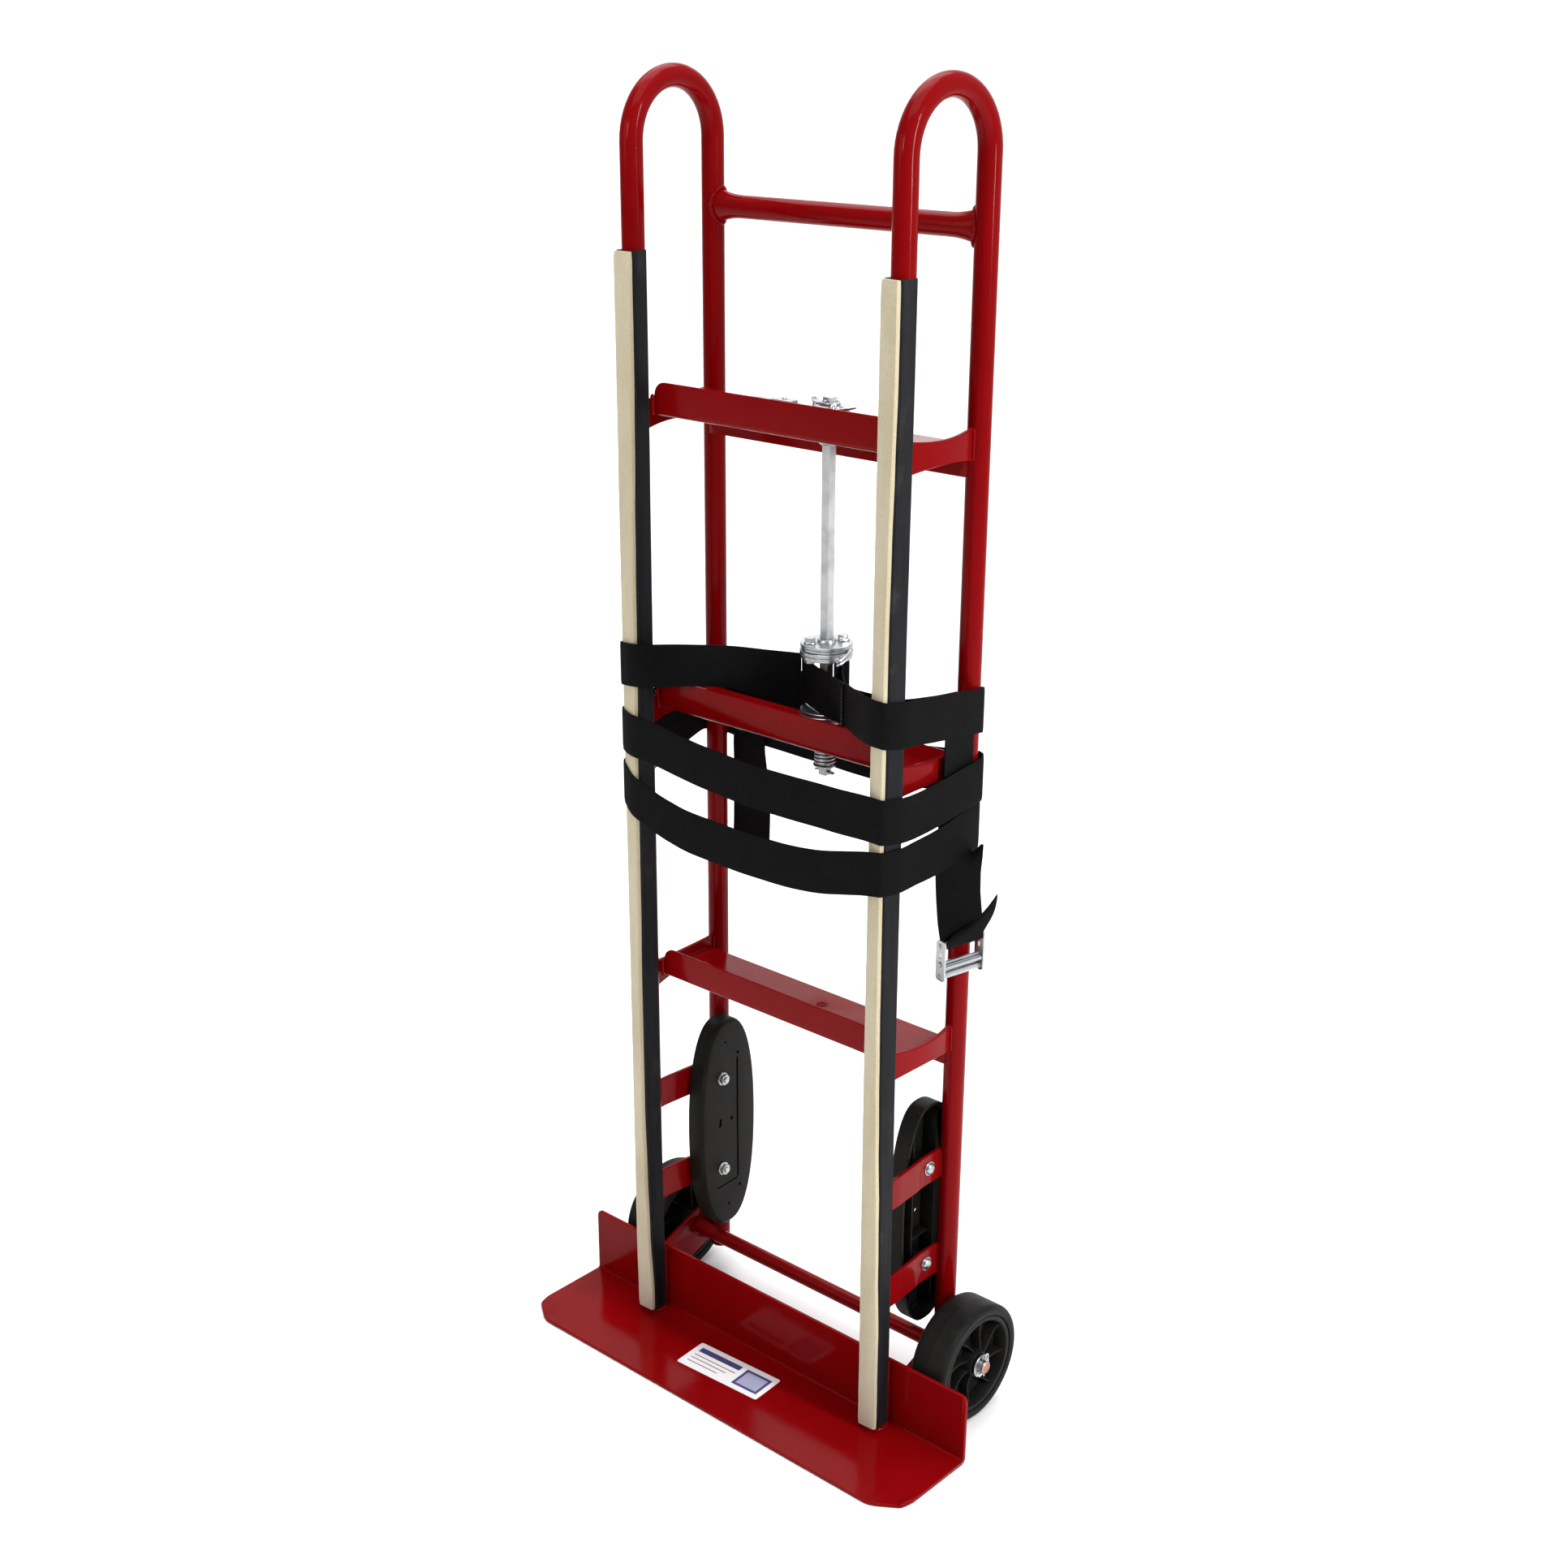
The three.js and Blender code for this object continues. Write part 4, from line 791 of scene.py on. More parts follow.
def member(name, z0, hole, seed):
    T, ri = 3.0, 2.6
    ro = ri + T
    Y0, Y1 = 17.0, 116.2
    zb = z0 + T - 37.0
    def profile(x):
        ax = abs(x)
        zt = z0 + 37.5 - (0 if ax < 159 else 15 - math.sqrt(max(0.0, 225 - (ax - 159) ** 2)))
        pts = [(Y0, zt - 0.7), (Y0 + 0.7, zt), (Y0 + T - 0.7, zt), (Y0 + T, zt - 0.7)]
        pts += arc2(Y0 + ro, z0 + ro, ri, 180, 270, 4)
        pts += arc2(Y1 - ro, z0 + T - ro, ro, 90, 0, 4)
        pts += [(Y1, zb + 0.7), (Y1 - 0.7, zb), (Y1 - T + 0.7, zb), (Y1 - T, zb + 0.7)]
        pts += arc2(Y1 - ro, z0 + T - ro, ri, 0, 90, 4)
        pts += arc2(Y0 + ro, z0 + ro, ro, 270, 180, 4)
        return pts
    xs = [-174, -173, -171, -168, -164, -159, -80, 0, 80, 159, 164, 168, 171, 173, 174]
    bm = bm_loft([[V((x, y, z)) for y, z in profile(x)] for x in xs])
    if hole:
        bm = bm_cut(bm, bm_cyl("z", hole, z0 - 8, z0 + 12, WINCH_X, WINCH_Y, 32))
    parts = [bm_bevelled(bm, 0.45, 1, 60)]
    for sgn in (1, -1):
        ys = [22.6 + (113 - 22.6) * k / 10 for k in range(11)]
        out = [(sgn * (brace_x(y) - BRACE_T / 2), y) for y in ys]
        inn = [(sgn * 173.2, 113.0), (sgn * 173.2, 22.6)]
        parts.append(bm_prism(out + inn, z0 + 0.02, z0 + T - 0.02, "z"))
        # shelf to brace, above and below
        path = [V((sgn * (brace_x(y) - BRACE_T / 2 - 0.2), y, z0 + T + 0.3)) for y in (30, 50, 70, 90, 104)]
        parts.append(bm_weld(path, 1.9, False, seed))
        path = [V((sgn * (brace_x(y) - BRACE_T / 2 - 0.2), y, z0 - 0.3)) for y in (26, 50, 80, 108)]
        parts.append(bm_weld(path, 1.9, False, seed + 1))
        # upright flange to the front leg, hanging flange to the rear leg
        parts.append(bm_weld([V((sgn * 174.0, 14.6, z0 + 1)), V((sgn * 174.0, 14.6, z0 + 24))], 2.8, False, seed + 2))
        ear = [(sgn * 172.5, 113.3), (sgn * 181.4, 113.3), (sgn * 181.8, 114.2), (sgn * 181.8, 116.1), (sgn * 172.5, 116.1)]
        parts.append(bm_bevelled(bm_prism(ear, zb + 0.1, z0 + T - 1.2, "z"), 0.45, 1, 60))
        parts.append(bm_weld([V((sgn * 181.6, 116.4, z0 - 3)), V((sgn * 181.6, 116.4, zb + 2))], 2.2, False, seed + 3))
        seed += 7
    return finish_bm(name, merge_bm(*parts), RED, "frame", [name], angle=38)

def brace(name, side, zc, seed):
    T2 = BRACE_T / 2
    rings = []
    for k in range(25):
        y = 11.0 + (117.2 - 11.0) * k / 24
        s = (y - 11) / 106.2
        x = brace_x(y)
        h = 17.8 - 4.9 * max(0.0, math.sin(pi * s)) ** 0.9
        c = 1.1
        sec = [(x - T2 + c, zc - h), (x + T2 - c, zc - h), (x + T2, zc - h + c), (x + T2, zc + h - c), (x + T2 - c, zc + h), (x - T2 + c, zc + h), (x - T2, zc + h - c), (x - T2, zc - h + c)]
        rings.append([V((side * a, y, b)) for a, b in sec])
    parts = [bm_loft(rings)]
    for xo, y0, yc, h in ((FRONT_X, 12.9, 0, 16.6), (REAR_X, 115.2, REAR_Y, 16.6)):
        for d in (-1, 1):
            x = brace_x(y0) + d * (T2 + 0.7)
            yy = y0 if abs(x - xo) < 0.5 else yc + math.copysign(math.sqrt(max(1, (TUBE_R + 0.6) ** 2 - (x - xo) ** 2)), y0 - yc)
            parts.append(bm_weld([V((side * x, yy, zc - h)), V((side * x, yy, zc + h))], 2.3, False, seed))
            seed += 1
    return finish_bm(name, merge_bm(*parts), RED, "frame", [name], angle=40)

for i, (level, z0) in enumerate(zip(("upper", "middle", "lower"), MEMBER_Z)):
    member(level + "_cross_member", z0, 8.5 if i < 2 else 6.5, 40 + 30 * i)
    zc = z0 + (-4 if i == 1 else 1)
    brace("right_" + level + "_brace", 1, zc, 101 + i)
    brace("left_" + level + "_brace", -1, zc, 131 + i)

# ------------------------------------------------------------------ stair glides: hollow mouldings, open towards the rails
GLIDE_Y, GLIDE_Z, GLIDE_HY, GLIDE_HZ, GX0, GX1 = 106.0, 244.5, 50.5, 147.5, 150.0, 174.0
BOLT_Y, BOLT_Z = 94.5, (313.5, 183.0)
def glide_loop(d, x, n=72):
    out = []
    for i in range(n):
        a = 2 * pi * i / n
        c, q = math.cos(a), math.sin(a)
        y = GLIDE_Y + (GLIDE_HY - d) * math.copysign(abs(c) ** 0.80, c)
        z = GLIDE_Z + (GLIDE_HZ - d) * math.copysign(abs(q) ** 0.90, q)
        out.append(V((x, y, z)))
    return out

def glide(name, side, hole, dots):
    rings = []
    for k in range(6):
        a = pi / 2 * k / 5
        rings.append(glide_loop(5.2 * (1 - math.sin(a)), GX0 + 5.2 * (1 - math.cos(a))))
    rings += [glide_loop(0, GX1 - 0.8), glide_loop(0.8, GX1), glide_loop(3.0, GX1), glide_loop(3.6, GX1 - 0.8), glide_loop(4.6, GX0 + 4.6), glide_loop(6.2, GX0 + 3.2)]
    body = bm_loft(rings)
    # stiffening ribs and bolt bosses inside
    extra = []
    for y, z0, z1 in ((78.0, 128.0, 361.0), (118.5, 112.0, 377.0)):
        extra.append(bm_bevelled(bm_prism([(y - 1.3, z0), (y + 1.3, z0), (y + 1.1, z1), (y - 1.1, z1)], GX0 + 2.6, GX1 - 3.0, "x"), 0.5, 2, 50))
    for z in (214.0, 282.0):
        extra.append(bm_bevelled(bm_prism([(78, z - 1.3), (118.5, z - 1.3), (118.5, z + 1.3), (78, z + 1.3)], GX0 + 2.6, GX1 - 8.0, "x"), 0.5, 2, 50))
    for zc in BOLT_Z:
        extra.append(bm_lathe([(4.4, GX0 + 2.5), (10.5, GX0 + 2.5), (9.4, GX1 - 0.6), (8.8, GX1), (4.4, GX1)], "x", (0, BOLT_Y, zc), 28))
    tools = [bm_cyl("x", 4.3, 140, 156, BOLT_Y, zc, 24) for zc in BOLT_Z]
    tools.append(bm_prism(round_poly([(120.6, 160), (124.0, 160), (123.0, 335), (119.8, 335)], 1.2, 3), 140, GX0 + 1.7, "x"))
    tools.append(bm_prism(round_poly([(84.0, 155.6), (121.5, 157.2), (121.5, 159.6), (84.0, 158.4)], 0.9, 3), 140, GX0 + 1.5, "x"))
    tools.append(bm_prism(round_poly([(86.8, 244), (91.6, 246), (92.6, 256), (89.6, 258), (87.0, 252)], 1.6, 3), 140, GX0 + 2.4, "x"))
    for y, z, r in ((122.5, 341.2, 2.4), (126.1, 146.2, 2.2), (100.0, 362.8, 1.8), (104.8, 126.2, 1.8)):
        tools.append(bm_cyl("x", r, 140, GX0 + 2.2, y, z, 16))
    tools.append(bm_cyl("x", hole[2], 140, 158, hole[0], hole[1], 20))
    for y, z, r in dots:
        tools.append(bm_cyl("x", r, 140, 158, y, z, 16))
    body = bm_cut(body, *tools)
    bm = merge_bm(body, *extra)
    if side < 0:
        bm = mirrored(bm)
    return finish_bm(name, bm, GLIDE, "frame", [name], angle=35)
glide("right_stair_glide", 1, (108.4, 239.0, 3.4), [(131.0, 232.5, 2.0)])
glide("left_stair_glide", -1, (111.1, 250.8, 3.2), [])

def glide_strap(name, side, z0, z1, zc, seed):
    pts = [(184.6, 10.2), (184.0, 34), (183.4, 39), (180.6, 70), (179.2, 79), (178.7, 86), (178.6, 118.5)]
    pts = catmull([[a, b, 0] for a, b in pts], 5)
    T2 = 2.5
    rings = []
    for k, (x, y, _) in enumerate(pts):
        a, b = pts[max(k - 1, 0)], pts[min(k + 1, len(pts) - 1)]
        t = V((b[0] - a[0], b[1] - a[1], 0)).normalized()
        n = V((t.y, -t.x, 0))
        c = 0.9
        rings.append([V((side * (x + n.x * u), y + n.y * u, z)) for u, z in
                      ((-T2 + c, z0), (T2 - c, z0), (T2, z0 + c), (T2, z1 - c), (T2 - c, z1), (-T2 + c, z1), (-T2, z1 - c), (-T2, z0 + c))])
    bm = bm_cut(bm_loft(rings), bm_cyl("x", 4.5, side * 160 if side > 0 else -200, side * 200 if side > 0 else -160, BOLT_Y, zc, 24))
    parts = [bm]
    for (x, y) in ((187.4, 12.6), (181.7, 12.6)):
        parts.append(bm_weld([V((side * x, y, z0 + 1)), V((side * x, y, z1 - 1))], 2.2, False, seed)); seed += 1
    for (x, y) in ((181.6, 116.9), (175.8, 121.0)):
        parts.append(bm_weld([V((side * x, y, z0 + 1)), V((side * x, y, z1 - 1))], 2.2, False, seed)); seed += 1
    return finish_bm(name, merge_bm(*parts), RED, "frame", [name], angle=38)

def glide_bolt(name, side, zc, turn):
    parts = []
    # round-headed bolt over a washer on the strap side
    parts.append(bm_lathe([(0, 186.4), (3.6, 186.3), (5.4, 185.6), (6.8, 184.2), (7.3, 182.8), (7.3, 182.3), (0, 182.3)], "x", (0, BOLT_Y, zc), 32, closed=False))
    parts.append(bm_lathe([(4.1, 181.2), (8.6, 181.2), (8.8, 181.4), (8.8, 182.2), (8.5, 182.4), (4.1, 182.4)], "x", (0, BOLT_Y, zc), 32))
    parts.append(bm_cyl("x", 3.9, 141.8, 183, BOLT_Y, zc, 20, 0.6))
    # thread crests on the exposed end
    for k in range(3):
        parts.append(bm_lathe([(3.7, 142.6 + k * 1.1), (4.15, 143.0 + k * 1.1), (3.7, 143.4 + k * 1.1)], "x", (0, BOLT_Y, zc), 20, closed=False))
    # flanged nut against the moulding
    parts.append(bm_lathe([(3.8, 149.8), (8.6, 149.8), (8.8, 149.5), (8.5, 148.9), (7.0, 148.3), (3.8, 148.3)], "x", (0, BOLT_Y, zc), 32))
    parts.append(bm_hex("x", 12.8, 144.4, 148.6, BOLT_Y, zc, turn, flip=True))
    bm = merge_bm(*parts)
    if side < 0:
        bm = mirrored(bm)
    return finish_bm(name, bm, ZINC, "frame", [name], angle=30)

for k, (level, z0, z1) in enumerate((("upper", 292.0, 331.0), ("lower", 160.0, 201.0))):
    for side, nm in ((1, "right_"), (-1, "left_")):
        glide_strap(nm + "glide_strap_" + level, side, z0, z1, BOLT_Z[k], 200 + 10 * k + side)
        glide_bolt(nm + "glide_bolt_" + level, side, BOLT_Z[k], 0.3 + 0.5 * k + 0.2 * side)

# ------------------------------------------------------------------ wheel brackets, axle, wheels
def bracket(name, side, seed):
    k, y0 = 0.36, FLANGE_Y + PLATE_T - 0.2
    up = lambda y: 75.3 + k * (y - 36)
    lo = lambda y: 15.7 + k * (y - 38.6)
    outline = round_poly([(y0, lo(y0)), (139, lo(139)), (139, up(139)), (y0, up(y0))], [0, 18, 18, 0], 8)
    x0, x1 = 200.1, 204.9
    plate = bm_cut(bm_prism(outline, x0, x1, "x"), bm_cyl("x", 8.15, 190, 215, AXLE_Y, AXLE_Z, 32))
    parts = [bm_bevelled(plate, 0.6, 2, 50)]
    for x in (x0 - 0.4, x1 + 0.4):
        parts.append(bm_weld([V((x, y0 + 0.6, lo(y0) + 1)), V((x, y0 + 0.6, up(y0) - 1))], 2.4, False, seed)); seed += 1
    for y in (118.4, 137.2):
        parts.append(bm_weld([V((198.8 if y < 130 else 198.4, y, max(lo(y), 43) + 2)), V((198.8 if y < 130 else 198.4, y, up(y) - 2))], 2.4, False, seed)); seed += 1
    bm = merge_bm(*parts)
    if side < 0:
        bm = mirrored(bm)
    return finish_bm(name, bm, RED, "frame", [name], angle=38)
bracket("right_wheel_bracket", 1, 301)
bracket("left_wheel_bracket", -1, 311)

def spacer():
    tube = bm_lathe([(8.25, -199.8), (9.3, -199.8), (9.3, 199.8), (8.25, 199.8)], "x", (0, AXLE_Y, AXLE_Z), 32)
    parts = [tube] + [bm_weld(ring_pts(10.2, "x", (s * 199.3, AXLE_Y, AXLE_Z), 26), 1.6, True, 320 + s) for s in (1, -1)]
    return finish_bm("axle_spacer_tube", merge_bm(*parts), RED, "frame", ["axle_spacer_tube"], angle=38)
spacer()

def axle():
    bar = bm_lathe([(0, -272.6), (6.9, -272.6), (7.9, -271.6), (7.9, 271.6), (6.9, 272.6), (0, 272.6)], "x", (0, AXLE_Y, AXLE_Z), 40, closed=False)
    bar = bm_cut(bar, bm_cyl("z", 2.3, 50, 100, 268.7, AXLE_Y, 16), bm_cyl("z", 2.3, 50, 100, -268.7, AXLE_Y, 16))
    return finish_bm("wheel_axle", bar, RUST, "frame", ["wheel_axle"], angle=35)
axle()

def split_pin(name, body, centre, axis_dir, across, length, r=1.75, eye=4.6, bend=0.5, mat=None, spread=None):
    """split pin: an eye, two legs of round wire and splayed tips"""
    c, d, s = V(centre), V(axis_dir).normalized(), V(across).normalized()
    leg = r * 0.5
    n = 14
    eye_c = c + d * (length / 2 + eye * 0.75)
    pts = []
    tip = spread if spread is not None else 3.6
    pts.append(c - d * (length / 2 + 2.6) + s * (leg + tip))
    pts.append(c - d * (length / 2) + s * (leg + tip * 0.35))
    pts.append(c - d * (length / 2 - 2.6) + s * leg)
    pts.append(c + s * leg)
    pts.append(c + d * (length / 2 - 1) + s * leg)
    for k in range(n + 1):
        a = math.radians(-52 + 284 * k / n)
        pts.append(eye_c + s * eye * 0.62 * math.cos(a) + d * eye * 0.95 * math.sin(a))
    pts.append(c + d * (length / 2 - 1) - s * leg)
    pts.append(c - s * leg)
    pts.append(c - d * (length / 2 - 2.6) - s * leg)
    pts.append(c - d * (length / 2 + 0.4) - s * (leg + tip * 0.5))
    pts.append(c - d * (length / 2 + 3.2) - s * (leg + tip * 1.25))
    return finish_bm(name, bm_sweep([V(p) for p in catmull([list(p) for p in pts], 1.2)], circle2(r * 0.52, 10), up=d.cross(s)), mat or ZINC, body, [name], angle=50)

for side, nm in ((1, "right_"), (-1, "left_")):
    w = bm_lathe([(8.2, 263.1), (14.0, 263.1), (14.4, 263.5), (14.4, 265.2), (14.0, 265.6), (8.2, 265.6)], "x", (0, AXLE_Y, AXLE_Z), 40)
    finish_bm(nm + "axle_washer", w if side > 0 else mirrored(w), ZINC, "frame", [nm + "axle_washer"], angle=35)
    split_pin(nm + "axle_cotter", "frame", (side * 268.7, AXLE_Y, AXLE_Z), (0, 0.34, 0.94), (0, 0.94, -0.34), 18, 2.3, 4.4)

def wheel(side, nm):
    xi, xo, R = 214.0, 262.6, 74.6
    body = nm + "_wheel"
    # solid rubber tread with rounded shoulders and a moulding flash line
    prof = [(62.5, xi + 1.2), (64.5, xi + 0.4), (67, xi)]
    prof += [(R - 6.6 + 6.6 * math.sin(a), xi + 6.6 - 6.6 * math.cos(a)) for a in [pi / 2 * k / 6 for k in range(7)]]
    prof += [(R + 0.0, xi + 13), (R, (xi + xo) / 2 - 0.6), (R + 0.12, (xi + xo) / 2), (R, (xi + xo) / 2 + 0.6), (R, xo - 13)]
    prof += [(R - 6.6 + 6.6 * math.cos(a), xo - 6.6 + 6.6 * math.sin(a)) for a in [pi / 2 * k / 6 for k in range(7)]]
    prof += [(67, xo), (64.5, xo - 0.4), (62.5, xo - 1.2)]
    tyre = bm_lathe(prof, "x", (0, AXLE_Y, AXLE_Z), 96)
    finish_bm(nm + "_wheel_tyre", tyre if side > 0 else mirrored(tyre), TYRE, body, [nm + "_wheel_tyre"], angle=40)
    xm = (xi + xo) / 2
    core = bm_lathe([(8.25, xi - 4), (14.5, xi - 4), (16, xi - 3), (17.5, xm - 5), (20.5, xm - 3.4), (50, xm - 3.0), (53.5, xm - 5), (55.0, xi + 3), (56.2, xi + 1.6), (60.5, xi + 1.6), (62.2, xi + 3.2),
                     (62.2, xo - 3.2), (60.5, xo - 1.6), (56.2, xo - 1.6), (55.0, xo - 3), (53.5, xm + 5), (50, xm + 3.0), (20.5, xm + 3.4), (17.5, xm + 5), (16.2, xo - 3), (15, xo - 1.6), (12.4, xo - 1.2), (8.25, xo - 1.2)], "x", (0, AXLE_Y, AXLE_Z), 72)
    ribs = []
    for face in (1, -1):
        for i in range(8):
            a0 = 2 * pi * i / 8 + 0.2
            pts_in, rings = [], []
            for k in range(13):
                t = k / 12
                r = 14.5 + (56.5 - 14.5) * t
                a = a0 + 0.42 * math.sin(pi * 0.5 * t) * 1.0
                rad = V((0, math.cos(a), math.sin(a)))
                tanv = V((0, -math.sin(a), math.cos(a)))
                c = V((0, AXLE_Y, AXLE_Z)) + rad * r
                th = 1.7
                top = (xo - 5.5 - 3.5 * math.sin(pi * t)) if face > 0 else (xi + 5.5 + 3.5 * math.sin(pi * t))
                bot = xm
                hi, lo = (top, bot) if face > 0 else (bot, top)
                ch = 0.7
                if face > 0:
                    sec = [(-th, lo), (th, lo), (th * 0.82, hi - ch), (th * 0.5, hi), (-th * 0.5, hi), (-th * 0.82, hi - ch)]
                else:
                    sec = [(-th, hi), (th, hi), (th * 0.82, lo + ch), (th * 0.5, lo), (-th * 0.5, lo), (-th * 0.82, lo + ch)]
                rings.append([V((x, 0, 0)) + c + tanv * u for u, x in sec])
            ribs.append(bm_loft(rings))
    hub = merge_bm(core, *ribs)
    finish_bm(nm + "_wheel_hub", hub if side > 0 else mirrored(hub), HUB, body, [nm + "_wheel_hub"], angle=38)
wheel(1, "right")
wheel(-1, "left")

# ------------------------------------------------------------------ pads: channel and felt, turned a little round the tube along their length
def interp(table, z):
    table = sorted(table)
    if z <= table[0][0]: return table[0][1]
    for (a, p), (b, q) in zip(table, table[1:]):
        if z <= b:
            t = (z - a) / (b - a)
            t = t * t * (3 - 2 * t)
            return p + (q - p) * t
    return table[-1][1]
TWIST_R = [(1338, 8.5), (1241, 9), (1156, 13), (1072, 17), (987, 20), (700, 20), (564, 18.5), (479, 16), (394, 12), (310, 6), (225, 3), (140, -3), (8, -4)]
TWIST_L = [(1338, 0), (1224, 0), (1132, 3), (1041, 8), (949, 10.5), (858, 12), (766, 16.5), (583, 17.5), (492, 20), (309, 20), (217, 15), (125, 9), (34, -3), (8, -3)]

def pad(side, nm):
    table = TWIST_R if side > 0 else TWIST_L
    z0, z1 = 11.5, 1338.0
    steps = 90
    h, inner = 13.6, 12.95
    # C-shaped section round the tube
    chan = [(h - 1.2, 7.2), (h, 6.0), (h, -12.0), (h - 1.6, -13.6), (-h + 1.6, -13.6), (-h, -12.0), (-h, 6.0), (-h + 1.2, 7.2)]
    a0 = math.atan2(7.2, math.sqrt(inner * inner - 7.2 ** 2))
    arc = []
    for k in range(21):
        a = (pi - a0) + (pi + 2 * a0) * k / 20
        arc.append((inner * math.cos(a), inner * math.sin(a)))
    chan = chan + arc
    f = 12.2
    felt = [(f - 0.8, -13.75), (f, -14.5), (f, -17.4), (f - 0.7, -18.75), (f - 2.0, -19.2), (0, -19.35), (-f + 2.0, -19.2), (-f + 0.7, -18.75), (-f, -17.4), (-f, -14.5), (-f + 0.8, -13.75)]
    def ring_of(section, z, grow=0.0, rnd=None):
        p = math.radians(interp(table, z))
        c, s = math.cos(p), math.sin(p)
        return [V((side * FRONT_X + x * c + y * s, -x * s + y * c, z)) for x, y in section]
    rings = [ring_of(chan, z0 + (z1 - z0) * k / steps) for k in range(steps + 1)]
    finish_bm(nm + "_pad_channel", bm_loft(rings), VINYL, "frame", [nm + "_pad_channel"], angle=35)
    rnd = random.Random(7 + side)
    rings = []
    m = 150
    for k in range(m + 1):
        z = z0 + 0.6 + (z1 - z0 - 1.2) * k / m
        q = 0.25 * math.sin(z * 0.021 + side) + 0.18 * math.sin(z * 0.077)
        sec = []
        for x, y in felt:
            e = rnd.uniform(-0.13, 0.13)
            end = 0.5 if k in (0, m) else 0.0
            sec.append((x * (1 + 0.006 * q) + (e if abs(x) > 11 and y < -14 else 0) - math.copysign(end, x), y + (0.12 * q + e * 0.5 if y < -17 else 0) + (end if y < -17 else 0)))
        rings.append(ring_of(sec, z))
    finish_bm(nm + "_felt_strip", bm_loft(rings), FELT, "frame", [nm + "_felt_strip"], angle=40)
pad(1, "right")
pad(-1, "left")

# ------------------------------------------------------------------ winch shaft, collar and spring
def square_section(h, c=0.8):
    return [(-h + c, -h), (h - c, -h), (h, -h + c), (h, h - c), (h - c, h), (-h + c, h), (-h, h - c), (-h, -h + c)]

def winch_shaft():
    h = 5.6
    zs = [(771, h - 0.7), (771.8, h), (1130, h), (1195.3, h), (1196, h - 0.7)]
    rings = []
    for z, hh in zs:
        rings.append([V((WINCH_X + a, WINCH_Y + b, z)) for a, b in square_section(hh)])
    bm = bm_cut(bm_loft(rings), bm_cyl("x", 2.3, 0, 60, WINCH_Y, 775.5, 16), bm_cyl("y", 2.3, 40, 120, WINCH_X, 1192.4, 16))
    # split pin through the top end of the shaft
    pin = bm_sweep(catmull([[WINCH_X + 4.2, WINCH_Y - 12.5, 1192.2], [WINCH_X + 1.4, WINCH_Y - 9.0, 1192.3], [WINCH_X, WINCH_Y, 1192.4], [WINCH_X - 0.4, WINCH_Y + 8, 1192.4], [WINCH_X - 3.2, WINCH_Y + 12.5, 1192.6], [WINCH_X, WINCH_Y + 16.2, 1192.8], [WINCH_X + 3.4, WINCH_Y + 12.5, 1192.6], [WINCH_X + 0.9, WINCH_Y + 8, 1192.4]], 1.5), circle2(1.05, 10))
    return finish_bm("winch_shaft", merge_bm(bm, pin), SHAFT, "winch", ["winch_shaft"], angle=35)
winch_shaft()
split_pin("shaft_cotter", "winch", (WINCH_X, WINCH_Y, 775.5), (0.98, -0.2, 0), (0.2, 0.98, 0), 17, 2.2, 3.6)

finish_bm("winch_collar", bm_lathe([(8.3, 1145.6), (9.4, 1145.2), (10.2, 1145.8), (12.6, 1149.6), (13.3, 1151.4), (13.3, 1158.9), (12.8, 1159.6), (8.3, 1159.6)], "z", (WINCH_X, WINCH_Y, 0), 40), ZINC, "winch", ["winch_collar"], angle=32)

def rewind_spring():
    pts = []
    turns, n = 8.5, 22
    z0, z1 = 784.0, 819.6
    for k in range(int(turns * n) + 1):
        a = 2 * pi * k / n
        t = k / (turns * n)
        pts.append(V((WINCH_X + 10.9 * math.cos(a), WINCH_Y + 10.9 * math.sin(a), z0 + (z1 - z0) * (t * 0.92 + 0.04 * (1 - math.cos(pi * t))))))
    coil = bm_sweep(pts, circle2(1.75, 10))
    cup = bm_lathe([(8.7, 782.0), (13.0, 782.0), (13.6, 782.6), (13.6, 783.6), (13.0, 784.0), (8.7, 784.0)], "z", (WINCH_X, WINCH_Y, 0), 32)
    cap = bm_lathe([(8.7, 819.4), (13.2, 819.4), (13.2, 821.4), (8.7, 821.4)], "z", (WINCH_X, WINCH_Y, 0), 32)
    return finish_bm("rewind_spring", merge_bm(coil, cup, cap), ZINC, "winch", ["rewind_spring"], angle=40)
rewind_spring()

# ------------------------------------------------------------------ spool
PINS = ((15.6, 63.6), (35.2, 97.0))
def disc(z0, z1, r, cx=WINCH_X, cy=WINCH_Y, n=56, inner=8.2, ch=0.5):
    return bm_lathe([(inner, z0), (r - ch, z0), (r, z0 + ch), (r, z1 - ch), (r - ch, z1), (inner, z1)], "z", (cx, cy, 0), n)

def upper_flange():
    parts = [disc(910.0, 914.6, 29.0, WINCH_X + 0.6, WINCH_Y - 0.4), disc(914.9, 919.3, 30.0), disc(919.6, 923.0, 28.6, WINCH_X - 0.5), disc(923.2, 926.8, 29.6, WINCH_X + 0.2)]
    parts.append(bm_lathe([(8.0, 926.6), (10.8, 926.6), (10.4, 929.6), (9.6, 930.6), (8.0, 930.8)], "z", (WINCH_X, WINCH_Y, 0), 32))
    # hooked end of a split pin lying against the rim
    for dx, dz, r in ((0.0, 0.0, 1.8), (-0.6, 3.9, 1.7)):
        hook = catmull([[50.0 + dx, 69.5, 905.6 + dz], [53.6 + dx, 66.6, 907.4 + dz], [56.0 + dx, 70.6, 910.2 + dz], [56.8 + dx, 79.0, 914.4 + dz], [56.2 + dx, 86.0, 917.8 + dz]], 1.4)
        parts.append(bm_sweep(hook, circle2(r, 10)))
    return finish_bm("spool_upper_flange", merge_bm(*parts), ZINC, "winch", ["spool_upper_flange"], angle=35)
upper_flange()

